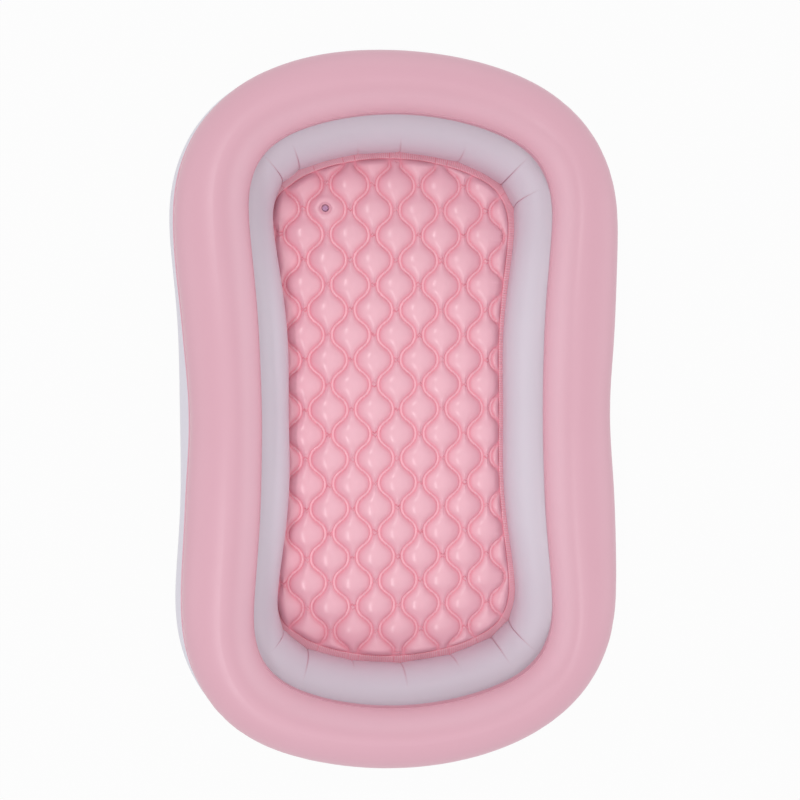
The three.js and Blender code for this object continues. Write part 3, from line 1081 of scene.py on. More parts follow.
@dataclass
class LowerRing:
    """The wide white ring: an inner wall that leans over the weld band and an outer one that turns under."""

    plan: JointLine
    finish: VinylFinish
    valve: ValvePlace
    outer_reach: Reach = Reach(side=0.095, shoulder=0.099, corner=0.092, end=0.092)
    inner_reach: Reach = Reach(side=0.098, shoulder=0.093, corner=0.082, end=0.077)
    weld_reach: Reach = Reach(side=0.082, shoulder=0.078, corner=0.072, end=0.063)
    foot_outer_reach: Reach = Reach(side=0.060, shoulder=0.059, corner=0.056, end=0.055)
    foot_inner_reach: Reach = Reach(side=0.058, shoulder=0.056, corner=0.052, end=0.050)
    pitch: float = 0.005
    valve_hole: float = 0.0098
    valve_land: float = 0.0165
    valve_fade: float = 0.036
    valve_closeness: float = 4
    crease_closeness: float = 8
    crease_window: float = 0.011
    crease_width: float = 0.0015
    # How wide the painted shade along a crease is
    crease_line: float = 0.0017
    crease_tip_share: float = 0.3
    lean_power: float = 1.5
    broad_fade: float = 1.6
    deepest_crease: float = 0.008
    groove_share: float = 0.26
    pucker_share: float = 0.75
    held_share: float = 0.8
    held_spread: float = 0.045
    foot_share: float = 0.6
    joint_column: int = 3
    foot_column: int = 28
    # Each crease's bearing in degrees, depth, spread, rise and lean
    creases: tuple[Crease, ...] = (
        Crease(53.5, 0.0075, 0.022, 0.112, 0.004),
        Crease(62.5, 0.0080, 0.024, 0.118, -0.006),
        Crease(75.8, 0.0045, 0.018, 0.092),
        Crease(88.9, 0.0045, 0.020, 0.090, 0.006),
        Crease(98.1, 0.0030, 0.014, 0.074, 0.004),
        Crease(112.5, 0.0072, 0.024, 0.110, -0.003),
        Crease(119.1, 0.0080, 0.022, 0.118, 0.004),
        Crease(238.0, 0.0075, 0.022, 0.105),
        Crease(248.6, 0.0066, 0.024, 0.112, 0.005),
        Crease(259.6, 0.0030, 0.014, 0.070, 0.001),
        Crease(270.5, 0.0050, 0.022, 0.104, 0.005),
        Crease(281.9, 0.0045, 0.018, 0.084, 0.008),
        Crease(293.1, 0.0070, 0.022, 0.110, 0.006),
        Crease(301.3, 0.0080, 0.024, 0.118, -0.006),
    )
    joint_puckers: Puckers = Puckers(
        pitch=0.028, depth=0.0022, width=0.008, reach=0.034, seed=11, everywhere=0.25
    )
    foot_puckers: Puckers = Puckers(
        pitch=0.034, depth=0.0016, width=0.009, reach=0.030, seed=13, everywhere=0.15
    )

    @property
    def bulge_height(self) -> float:
        """The height where the ring is widest."""
        return JOINT_HEIGHT / 2

    def inner_section(self, line: Stations, depth: float) -> Section:
        """The inner wall's section, from under the pink ring down to the floor's weld band.

        Args:
            line: the wall's stations.
            depth: how far it lies behind the face that shows.

        Returns:
            The offsets and the heights.
        """
        inner, weld = self.inner_reach.at(line), self.weld_reach.at(line)
        half = JOINT_MARGIN / 2 + 0 * inner
        middle = self.bulge_height
        rise = JOINT_HEIGHT - depth - middle
        turn = math.asin((middle - BAND_HEIGHT) / middle)
        belly = (inner - weld) / (1 - math.cos(turn))
        foot = BAND_HEIGHT - depth
        return joined(
            flat(half, -half / 2, JOINT_HEIGHT - depth, 4),
            arc(-half, middle, depth + half - inner, rise, 90, 0, 18),
            arc(belly - inner, middle, depth - belly, depth - middle, 3, math.degrees(turn), 24),
            flat(-weld - BAND_WIDTH / 3, -weld - BAND_WIDTH, foot, 2),
        )

    def outer_section(self, line: Stations, depth: float) -> Section:
        """The outer wall's section, from the joint out, under the ring and up to the floor's weld band.

        Args:
            line: the wall's stations.
            depth: how far it lies behind the face that shows.

        Returns:
            The offsets and the heights.
        """
        outer, weld = self.outer_reach.at(line), self.weld_reach.at(line)
        foot_out, foot_in = self.foot_outer_reach.at(line), self.foot_inner_reach.at(line)
        half = JOINT_MARGIN / 2 + 0 * outer
        top = JOINT_HEIGHT - FILM - depth
        band = BAND_HEIGHT - 2 * FILM + depth
        middle = self.bulge_height
        return joined(
            flat(-half, half / 2, top, 4),
            arc(half, middle, outer - depth - half, top - middle, 90, 0, 14),
            arc(foot_out, middle, outer - depth - foot_out, depth - middle, 6, 90, 12),
            flat(foot_out * self.foot_share - foot_in * (1 - self.foot_share), -foot_in, depth, 3),
            arc(-foot_in, band, depth + foot_in - weld, depth - band, 78, 0, 6),
            flat(-weld - BAND_WIDTH / 2, -weld - BAND_WIDTH, band, 2),
        )

    def crease_depths(self, line: Stations, film: Film) -> Array:
        """How far the wall's creases draw it in, with painted shade along them.

        Between the creases the wall stands out, so that it keeps its place on the whole.

        Args:
            line: the wall's stations.
            film: the wall.

        Returns:
            The depth at each point.
        """
        around = self.plan.length
        up = film.outer[:, :, 2] - BAND_HEIGHT
        broad, sharp = np.zeros(up.shape), np.zeros(up.shape)
        for crease in self.creases:
            centre = self.plan.travel_to(crease.bearing)
            share = np.clip(up / crease.rise, 0, 2)
            apart = np.abs(line.travelled[:, None] - centre - crease.lean * share**self.lean_power)
            apart = np.minimum(apart, around - apart)
            left = np.clip((1 - share) / self.crease_tip_share, 0, 1)
            sharp += crease.depth * left * np.exp(-apart / self.crease_width)
            # Painted shade along each crease line, fading out towards its tip
            drawn = crease.depth / self.deepest_crease * left
            film.painted_shading += drawn * np.exp(-((apart / self.crease_line) ** 2))
            broad += crease.depth * np.exp(-self.broad_fade * share**2) * np.exp(-apart / crease.spread)
        apart = np.abs(line.travelled[:, None] - line.travelled[None, :])
        apart = np.minimum(apart, around - apart)
        weight = np.exp(-((apart / self.held_spread) ** 2)) * np.gradient(line.travelled)[None, :]
        weight /= weight.sum(axis=1)[:, None]
        return self.pucker_share * (broad - self.held_share * weight @ broad) + self.groove_share * sharp

    def build(self) -> None:
        """Makes and dresses both walls."""
        material = self.finish.material()
        bearings = [crease.bearing for crease in self.creases]
        line = self.plan.stations(self.pitch, bearings, self.crease_closeness, self.crease_window)
        wall = Film(line, self.inner_section(line, 0), self.inner_section(line, FILM))
        drawn = self.crease_depths(line, wall)
        gathers = self.joint_puckers.depths(line, wall.across(self.joint_column), self.plan.length)
        for depths in (drawn, gathers):
            depths[:, : self.joint_column + 1] = 0
            depths[:, -2:] = 0
        wall.push(-gathers)
        wall.slide(drawn)
        piece = Piece(Body.SHELL.value, Slot.WHITE_RING, material, ("lower_ring_inner_wall",))
        piece.dress(wall.mesh("lower_ring_inner_film"))
        line = self.plan.stations(self.pitch, [self.valve.bearing], self.valve_closeness, self.valve_fade)
        shell = Film(line, self.outer_section(line, 0), self.outer_section(line, FILM))
        depths = self.joint_puckers.depths(line, shell.across(self.joint_column), self.plan.length)
        depths += self.foot_puckers.depths(line, shell.across(self.foot_column), self.plan.length)
        depths[:, : self.joint_column + 1] = 0
        depths[:, self.foot_column + 1 :] = 0
        shell.push(-depths)
        shell.flatten(self.valve, self.valve_land, self.valve_fade)
        piece = Piece(Body.SHELL.value, Slot.WHITE_RING, material, ("lower_ring_outer_wall",))
        piece.dress(shell.mesh("lower_ring_outer_film", self.valve, self.valve_hole))


@dataclass(frozen=True)
class QuiltCell:
    """Plan places of the floor, with the column of bubbles that each is in.

    The share is how far across its bubble a place is. The last field is how far it is off the nearest weld
    line, with half that line's width as one.
    """

    x: Array
    y: Array
    number: Array
    width: Array
    share: Array
    from_line: Array


@dataclass
class AirFloor:
    """The air floor: two sheets joined by wavy weld lines, with a ribbed weld band round the edge."""

    plan: JointLine
    finish: VinylFinish
    valve: ValvePlace
    weld_reach: Reach = Reach(side=0.082, shoulder=0.078, corner=0.072, end=0.063)
    column_pitch: float = 0.044
    line_shift: float = 0.0024
    row_shift: float = 0.0012
    left_tuck: float = 0.0085
    tuck_gain: float = 2.5
    tuck_start: float = 1.4
    outline_pitch: float = 0.0035
    column_shares: tuple[float, ...] = (0, 0.02, 0.05, 0.1, 0.17, 0.25, 0.33, 0.4, 0.455)
    edge_steps: tuple[float, ...] = (0.0006, 0.0014, 0.0026, 0.0044)
    edge_clearance: float = 0.0062
    wave_length: float = 0.0955
    wave_height: float = 0.014
    square_share: float = 0.055
    line_width: float = 0.0040
    bead_height: float = 0.00045
    neck_share: float = 0.42
    crest_power: float = 0.9
    dome_power: float = 0.62
    ridge_power: float = 0.5
    crimp_height: float = 0.0016
    crimp_width: float = 0.0015
    crimp_run: float = 0.015
    edge_fade: float = 0.015
    edge_power: float = 0.95
    rim_width: float = 0.0016
    rim_depth: float = 0.0002
    straight_run: float = 0.015
    pinch_run: float = 0.016
    pinch_share: float = 0.4
    fold_depth: float = 0.0028
    fold_width: float = 0.0011
    fold_swing: float = 0.0020
    fold_shift: float = 0.0045
    fold_side_share: float = 0.6
    fold_turns: float = 1.4
    fold_turns_drift: float = 0.4
    fold_sureness_share: float = 0.7
    narrow_start: float = 1.6
    ridge_shift: float = 1.9
    ridge_share: float = 0.7
    # Painted shade in the quilt: in the crevices by the weld lines, on the flanks, at the lines' ends, in the
    # folds, along the rim and as the left wall's shadow; then the weld band's painted light and the painted
    # shade between its ribs
    crevice_place: float = 1.25
    crevice_spread: float = 0.35
    crevice_share: float = 0.4
    end_share: float = 0.9
    fold_share: float = 0.8
    rim_share: float = 0.5
    wall_shadow_share: float = 0.4
    wall_shadow_fade: float = 0.035
    wall_shadow_turn: float = 0.1
    flank_share: float = 0.45
    band_share: float = -0.4
    rib_share: float = 0.9
    end_start: float = 1.6
    row_pitch: float = 0.0025
    neck_pitch: float = 0.0009
    neck_window: float = 0.0085
    valve_land: float = 0.0165
    valve_fade: float = 0.027
    valve_hole: float = 0.0098
    rib_pitch: float = 0.0046
    rib_depth: float = 0.0010
    rib_slants: tuple[Swell, ...] = (Swell(117, 16, 1.1), Swell(300, 18, -0.5))
    rib_stations: int = 7
    rib_power: float = 1.5
    band_shares: tuple[float, ...] = (-0.57, -0.3, 0.0, 0.2, 0.4, 0.6, 0.78, 0.9, 0.96, 1.0)
    band_rib_shares: tuple[float, ...] = (0.0, 1.0, 1.0, 1.0, 1.0, 1.0, 1.0, 0.8, 0.4, 0.0)
    band_notch_shares: tuple[float, ...] = (0.0, 0.0, 0.3, 0.6, 0.9, 1.0, 1.0, 0.8, 0.5, 0.0)
    band_rise: float = 0.0009
    band_shoulder_share: float = 0.1
    band_edge_share: float = 0.99
    band_crevice_share: float = 0.93
    notch_depth: float = 0.0013
    notch_width: float = 0.0008
    notch_gain: float = 2
    notch_start: float = 0.6
    batch: int = 4096
    seed: int = 7

    def __post_init__(self) -> None:
        """Traces the quilt's outline, inside the weld band."""
        self.outline = self.inset(BAND_WIDTH)

    def inset(self, distance: float) -> Array:
        """A closed line inside the weld.

        Args:
            distance: how far inside it is.

        Returns:
            Its plan places.
        """
        line = self.plan.stations(self.outline_pitch)
        reach = self.weld_reach.at(line) - BAND_WIDTH + self.band_width(line) + distance
        return line.point - reach * line.outward

    def band_width(self, line: Stations) -> Array:
        """How wide the weld band shows; it's narrower along the left side, under the leaning wall.

        Args:
            line: the band's stations.

        Returns:
            The width at each station, one column.
        """
        left = np.clip(-line.outward[:, :1] * self.tuck_gain - self.tuck_start, 0, 1)
        return BAND_WIDTH - self.left_tuck * left * left * (3 - 2 * left)

    @property
    def end(self) -> float:
        """How far along the pool the quilt runs from its middle."""
        return float(self.outline[:, 1].max())

    def swing(self, number: Array, y: Array) -> Array:
        """How far a weld line swings aside; it runs straight near the quilt's ends.

        Args:
            number: the line's number.
            y: the place along the pool.

        Returns:
            How far it stands to the right of its middle.
        """
        held = np.clip(y, self.straight_run - self.end, self.end - self.straight_run) - self.row_shift
        sign = np.where(number % 2 == 0, -1.0, 1.0)
        turn = 2 * math.pi * held / self.wave_length
        wave = np.cos(turn) - self.square_share * np.cos(3 * turn)
        return sign * self.wave_height * wave / (1 - self.square_share)

    def line_at(self, number: Array, y: Array) -> Array:
        """Where a numbered weld line runs across the pool."""
        return (number + 0.5) * self.column_pitch + self.line_shift + self.swing(number, y)

    def half_line(self, x: Array, y: Array) -> Array:
        """Half a weld line's width; the lines are pinched thin where they meet the weld band.

        Args:
            x: the place across the pool.
            y: the place along it.

        Returns:
            The half width, measured across the pool.
        """
        far = self.outline[self.outline[:, 1] > 0]
        order = np.argsort(far[:, 0])
        end = np.interp(x, far[order, 0], far[order, 1])
        left = np.clip((end - np.abs(y)) / self.pinch_run, 0, 1)
        pinch = self.pinch_share + (1 - self.pinch_share) * left
        return self.line_width / 2 * self.slope_factor(y) * pinch

    def slope_factor(self, y: Array) -> Array:
        """How much wider a weld line is across the pool than square to itself.

        Args:
            y: the place along the pool.

        Returns:
            The factor, one or more.
        """
        turn = 2 * math.pi / self.wave_length
        held = y - self.row_shift
        slope = np.sin(turn * held) - 3 * self.square_share * np.sin(3 * turn * held)
        slope = slope * self.wave_height * turn / (1 - self.square_share)
        slope = np.where(np.abs(y) > self.end - self.straight_run, 0, slope)
        return np.sqrt(1 + slope**2)

    def rows(self) -> Array:
        """The net's rows, closer together at the necks between bubbles.

        Returns:
            Their places along the pool, in order.
        """
        half = self.wave_length / 2
        coarse = np.arange(-self.end, self.end, self.row_pitch)
        necks = np.arange(-math.ceil(self.end / half), math.ceil(self.end / half) + 1) * half
        necks = necks + self.row_shift
        near = np.abs(coarse[:, None] - necks[None, :]).min(axis=1) < self.neck_window
        fine = np.arange(-self.neck_window, self.neck_window + self.neck_pitch / 2, self.neck_pitch)
        rows = np.concatenate([coarse[~near], (necks[:, None] + fine[None, :]).ravel()])
        return np.sort(rows[np.abs(rows) < self.end])

    def net(self, coarse: bool = False) -> tuple[Array, list[tuple[int, ...]], Array]:
        """Covers the quilt with triangles that follow the weld lines.

        Args:
            coarse: whether to make the plainer net of the base sheet.

        Returns:
            The plan places, the triangles, and how far each place is from the outline.
        """
        near = np.array(self.column_shares)
        shares = np.concatenate([near, [0.5], 1 - near[::-1]])
        rows = self.rows()
        if coarse:
            shares = shares[::2]
            rows = rows[::3]
        count = math.ceil(self.outline[:, 0].max() / self.column_pitch) + 1
        places = []
        for column in range(-count, count + 1):
            number = np.full(len(rows), column)
            left, right = self.line_at(number - 1, rows), self.line_at(number, rows)
            left, right = left + self.half_line(left, rows), right - self.half_line(right, rows)
            across = left[:, None] * (1 - shares) + right[:, None] * shares
            across = np.concatenate([across, self.line_at(number, rows)[:, None]], axis=1)
            along = np.broadcast_to(rows[:, None], across.shape)
            places.append(np.stack([across.ravel(), along.ravel()], axis=1))
        places = np.concatenate(places)
        edges = [self.inset(BAND_WIDTH + step) for step in self.edge_steps]
        places = places[self.clearance(places) > self.edge_clearance]
        places = np.concatenate([self.outline, *edges, places])
        rim = len(self.outline)
        nudges = np.sin(np.arange(2 * (len(places) - rim))).reshape(-1, 2)
        places[rim:] += SAME_PLACE * nudges
        rim_edges = [(i, (i + 1) % rim) for i in range(rim)]
        found = delaunay_2d_cdt([Vector(place) for place in places], rim_edges, [], 1, SAME_PLACE / 100)
        kept = np.array([list(place) for place in found[0]])
        return kept, [tuple(face) for face in found[2]], self.clearance(kept)

    def clearance(self, places: Array) -> Array:
        """How far inside the quilt's outline each place is.

        Args:
            places: the plan places.

        Returns:
            The distances, below zero outside the outline.
        """
        start = self.outline
        along = np.roll(start, -1, axis=0) - start
        length = (along**2).sum(axis=1)
        result = np.empty(len(places))
        for first in range(0, len(places), self.batch):
            part = places[first : first + self.batch]
            apart = part[:, None, :] - start[None, :, :]
            share = np.clip((apart * along).sum(axis=2) / length, 0, 1)
            near = np.linalg.norm(apart - share[:, :, None] * along, axis=2).min(axis=1)
            crosses = (start[:, 1] > part[:, 1:]) != (np.roll(start[:, 1], -1) > part[:, 1:])
            rise = np.where(along[:, 1] == 0, NEARLY_ZERO, along[:, 1])
            meets = start[:, 0] + apart[:, :, 1] * along[:, 0] / rise
            inside = (crosses & (part[:, :1] < meets)).sum(axis=1) % 2 == 1
            result[first : first + self.batch] = np.where(inside, near, -near)
        return result

    def cell(self, places: Array) -> QuiltCell:
        """Finds the column of bubbles that each place is in.

        Args:
            places: the plan places.

        Returns:
            The places with their columns.
        """
        x, y = places[:, 0], places[:, 1]
        number = np.round((x - self.line_shift) / self.column_pitch).astype(int)
        number = np.where(x > self.line_at(number, y), number + 1, number)
        number = np.where(x < self.line_at(number - 1, y), number - 1, number)
        left, right = self.line_at(number - 1, y), self.line_at(number, y)
        half, other = self.half_line(left, y), self.half_line(right, y)
        width = right - left
        share = np.clip((x - left - half) / np.maximum(width - half - other, 10 * SAME_PLACE), 0, 1)
        from_line = np.minimum((x - left) / half, (right - x) / other)
        return QuiltCell(x, y, number, width, share, from_line)

    def swell(self, cell: QuiltCell, clear: Array, folds: bool = True) -> Array:
        """How far the sheet swells off the weld's plane.

        Args:
            cell: the plan places, with their columns.
            clear: how far inside the outline they are.
            folds: whether the necks have their small folds.

        Returns:
            The swell at each place.
        """
        widest = self.column_pitch + 2 * self.wave_height
        narrowest = self.column_pitch - 2 * self.wave_height
        fullness = np.clip((cell.width - narrowest) / (widest - narrowest), 0, 1)
        crest = BUBBLE_HEIGHT * (self.neck_share + (1 - self.neck_share) * fullness**self.crest_power)
        dome = (4 * cell.share * (1 - cell.share)) ** (self.dome_power + self.ridge_power * (1 - fullness))
        near_edge = np.clip(clear / self.edge_fade, 0, 1)
        edge = (1 - (1 - near_edge) ** 2) ** self.edge_power
        height = crest * dome * edge
        bead = self.bead_height * np.clip(1 - cell.from_line**2, 0, 1) * near_edge
        height = np.where(cell.share * (1 - cell.share) > 0, height, bead)
        if folds:
            groove, ridge = self.folds(cell)
            height = height - self.fold_depth * (groove - self.ridge_share * ridge) * edge
            height = height + self.crimp(cell) * edge
            height = height - self.rim_depth * np.clip(1 - clear / self.rim_width, 0, 1)
        reach = np.hypot(cell.x - self.valve.origin.x, cell.y - self.valve.origin.y)
        far = np.clip((reach - self.valve_land) / (self.valve_fade - self.valve_land), 0, 1)
        hold = 1 - far * far * (3 - 2 * far)
        return height * (1 - hold) + BUBBLE_HEIGHT * hold

    def necks(self, cell: QuiltCell) -> tuple[Array, Array]:
        """Finds the neck between two bubbles that each place is nearest to.

        Args:
            cell: the plan places, with their columns.

        Returns:
            The neck's number and its place along the pool.
        """
        shift = np.where(cell.number % 2 == 0, 0.0, 0.5)
        neck = np.round((cell.y - self.row_shift) / self.wave_length - shift).astype(int)
        return neck, (neck + shift) * self.wave_length + self.row_shift

    def crimp(self, cell: QuiltCell) -> Array:
        """The narrow ridge that runs along the middle of each neck.

        Args:
            cell: the plan places, with their columns.

        Returns:
            Its height at each place.
        """
        centre = self.necks(cell)[1]
        across = (cell.share - 0.5) * cell.width
        along = (cell.y - centre) / self.crimp_run
        return self.crimp_height * np.exp(-((across / self.crimp_width) ** 2)) * np.exp(-(along**4))

    def folds(self, cell: QuiltCell) -> tuple[Array, Array]:
        """Finds the two small crumpled folds across each neck between two bubbles.

        Args:
            cell: the plan places, with their columns.

        Returns:
            How deep each place is in a fold's groove and how high on its ridge, from zero to one.
        """
        neck, centre = self.necks(cell)
        chance = np.random.default_rng(self.seed)
        cells = 64
        picks = chance.uniform(-1, 1, (cells, cells, 2, 4))[cell.number % cells, neck % cells]
        inside = np.clip(8 * cell.share * (1 - cell.share), 0, 1)
        narrow = np.clip(self.narrow_start - cell.width / self.column_pitch, 0, 1)
        groove, ridge = np.zeros(len(centre)), np.zeros(len(centre))
        for fold, side in enumerate((-1, 1)):
            pick = picks[:, fold]
            turns = self.fold_turns + self.fold_turns_drift * pick[:, 0]
            zigzag = 4 * np.abs((turns * cell.share + pick[:, 1]) % 1 - 0.5) - 1
            swing = self.fold_swing * (zigzag + pick[:, 3] * (cell.share - 0.5))
            stray = side * self.fold_side_share + (1 - self.fold_side_share) * pick[:, 2]
            path = centre + swing + self.fold_shift * stray
            apart = (cell.y - path) / self.fold_width
            sureness = self.fold_sureness_share + (1 - self.fold_sureness_share) * pick[:, 1]
            depth = inside * narrow * sureness
            groove = np.maximum(groove, depth * np.exp(-(apart**2)))
            ridge = np.maximum(ridge, depth * np.exp(-((apart + self.ridge_shift * side) ** 2)))
        return groove, ridge

    def painted_shading(self, cell: QuiltCell, clear: Array) -> Array:
        """The quilt's painted shade: in the crevices by the weld lines, on the flanks, at the lines' ends, in
        the folds, along the rim, and the left wall's painted shadow.

        Args:
            cell: the plan places, with their columns.
            clear: how far inside the outline they are.

        Returns:
            The painted shade at each place, from zero to one.
        """
        off_line = np.abs(cell.from_line)
        crevice = np.exp(-(((off_line - self.crevice_place) / self.crevice_spread) ** 2))
        flank = (1 - 4 * cell.share * (1 - cell.share)) ** 2 * (off_line > 1)
        end = np.clip(1 - clear / self.pinch_run, 0, 1) * np.clip(self.end_start - off_line, 0, 1)
        groove = self.folds(cell)[0]
        rim = np.exp(-((clear / self.rim_width) ** 2))
        # Painted shadow of the left wall, near the quilt's rim
        slope = np.exp(-clear / self.wall_shadow_fade) * (0.5 - 0.5 * np.tanh(cell.x / self.wall_shadow_turn))
        shares = (
            (self.crevice_share, crevice),
            (self.flank_share, flank),
            (self.end_share, end),
            (self.fold_share, groove),
            (self.rim_share, rim),
            (self.wall_shadow_share, slope),
        )
        return sum(share * tone for share, tone in shares)

    def sheet(self, name: str, coarse: bool, level: float, way: int) -> bpy.types.Object:
        """Makes one quilted sheet as a closed film.

        Args:
            name: the piece's name.
            coarse: whether it has the plainer net.
            level: the height of its weld lines on the face that shows.
            way: one for the top sheet and minus one for the base.

        Returns:
            The object.
        """
        places, faces, clear = self.net(coarse)
        cell = self.cell(places)
        swell = self.swell(cell, clear, not coarse)
        painted_shading = np.tile(self.painted_shading(cell, clear), 2)
        count = len(places)
        shown = np.column_stack([places, level + way * swell])
        hidden = np.column_stack([places, level + way * (swell - FILM)])
        both = np.concatenate([shown, hidden])
        rim = len(self.outline)
        sides = [(i, (i + 1) % rim, count + (i + 1) % rim, count + i) for i in range(rim)]
        inner = [tuple(count + corner for corner in reversed(face)) for face in faces]
        if coarse:
            return mesh_object(name, both, [*faces, *inner, *sides], painted_shading=painted_shading)
        reach = np.hypot(places[:, 0] - self.valve.origin.x, places[:, 1] - self.valve.origin.y)
        cut = np.concatenate([reach < self.valve_hole] * 2)
        kept = [face for face in [*faces, *inner] if not any(cut[corner] for corner in face)]
        thing = mesh_object(name, both, [*kept, *sides], painted_shading=painted_shading)
        close_rims(thing, cut, self.valve, self.valve_hole)
        return thing

    def band(self) -> bpy.types.Object:
        """Makes the ribbed weld band between the white wall and the quilt.

        Returns:
            The object.
        """
        line = self.plan.stations(self.rib_pitch / self.rib_stations)
        weld = self.weld_reach.at(line)
        share = np.array(self.band_shares)[None, :]
        width = self.band_width(line)
        offset = -weld - width * share
        slant = sum(swell.at(line.bearing) for swell in self.rib_slants)[:, None]
        turns = (line.travelled[:, None] + slant * width * share) / self.rib_pitch
        rib = (0.5 + 0.5 * np.cos(2 * math.pi * turns)) ** self.rib_power
        lift = self.rib_depth * rib * np.array(self.band_rib_shares)[None, :]
        plan_x, plan_y = (line.point - (weld + width) * line.outward).T
        number = np.floor((plan_x - self.line_shift) / self.column_pitch).astype(int)
        lines = [self.line_at(number + step, plan_y) for step in (-1, 0, 1)]
        nearest = np.min([np.abs(plan_x - place) for place in lines], axis=0)
        ends = np.clip(np.abs(line.outward[:, 1]) * self.notch_gain - self.notch_start, 0, 1)
        notch = self.notch_depth * ends * np.exp(-((nearest / self.notch_width) ** 2))
        shoulder = self.band_rise * np.clip((1 - share) / self.band_shoulder_share, 0, 1)
        level = BAND_HEIGHT + FILM + shoulder - self.rim_depth * (share > self.band_edge_share)
        reach = np.array(self.band_notch_shares)[None, :]
        top = level + lift - np.minimum(notch[:, None] * reach, lift + self.band_rise)
        film = Film(line, (offset, top), (offset, level - self.band_rise - FILM + 0 * top))
        # Painted light over the whole band, and painted shade in the grooves between its ribs, in the notch
        # creases and in the crevice at its inner edge
        creased = (notch / self.notch_depth)[:, None] * reach
        film.painted_shading = self.band_share + self.rib_share * (1 - rib) + creased
        film.painted_shading += self.rim_share * (share > self.band_crevice_share)
        return film.mesh("floor_weld_band")

    def build(self) -> None:
        """Makes and dresses the quilt, the weld band and the base sheet."""
        material = self.finish.material()
        quilt = self.sheet("floor_quilt_film", False, BAND_HEIGHT + FILM, 1)
        Piece(Body.SHELL.value, Slot.FLOOR, material, ("floor_top_sheet",)).dress(quilt)
        Piece(Body.SHELL.value, Slot.FLOOR, material).dress(self.band())
        base = self.sheet("floor_base_film", True, BUBBLE_HEIGHT, -1)
        Piece(Body.SHELL.value, Slot.FLOOR, material, ("floor_base_sheet",)).dress(base)


# The air valves

Outline = Sequence[tuple[float, float]]


def rounded(
    outline: Outline,
    radius: float,
    steps: int = 3,
    side_share: float = 1 / 2.2,
) -> list[tuple[float, float]]:
    """Rounds the corners of a closed outline that don't lie on the turning axis.

    Args:
        outline: its corners, as radius and height.
        radius: how far back from a corner the rounding starts.
        steps: how many steps each rounding has.
        side_share: the most of a side that the rounding at one of its ends takes.

    Returns:
        The rounded outline.
    """
    result = []
    for index, corner in enumerate(outline):
        here = Vector(corner)
        if here.x == 0:
            result.append(tuple(here))
            continue
        before, after = Vector(outline[index - 1]), Vector(outline[(index + 1) % len(outline)])
        reach = min(radius, (before - here).length * side_share, (after - here).length * side_share)
        start = here + (before - here).normalized() * reach
        stop = here + (after - here).normalized() * reach
        for step in range(steps + 1):
            share = step / steps
            place = start * (1 - share) ** 2 + here * 2 * share * (1 - share) + stop * share**2
            result.append(tuple(place))
    return result


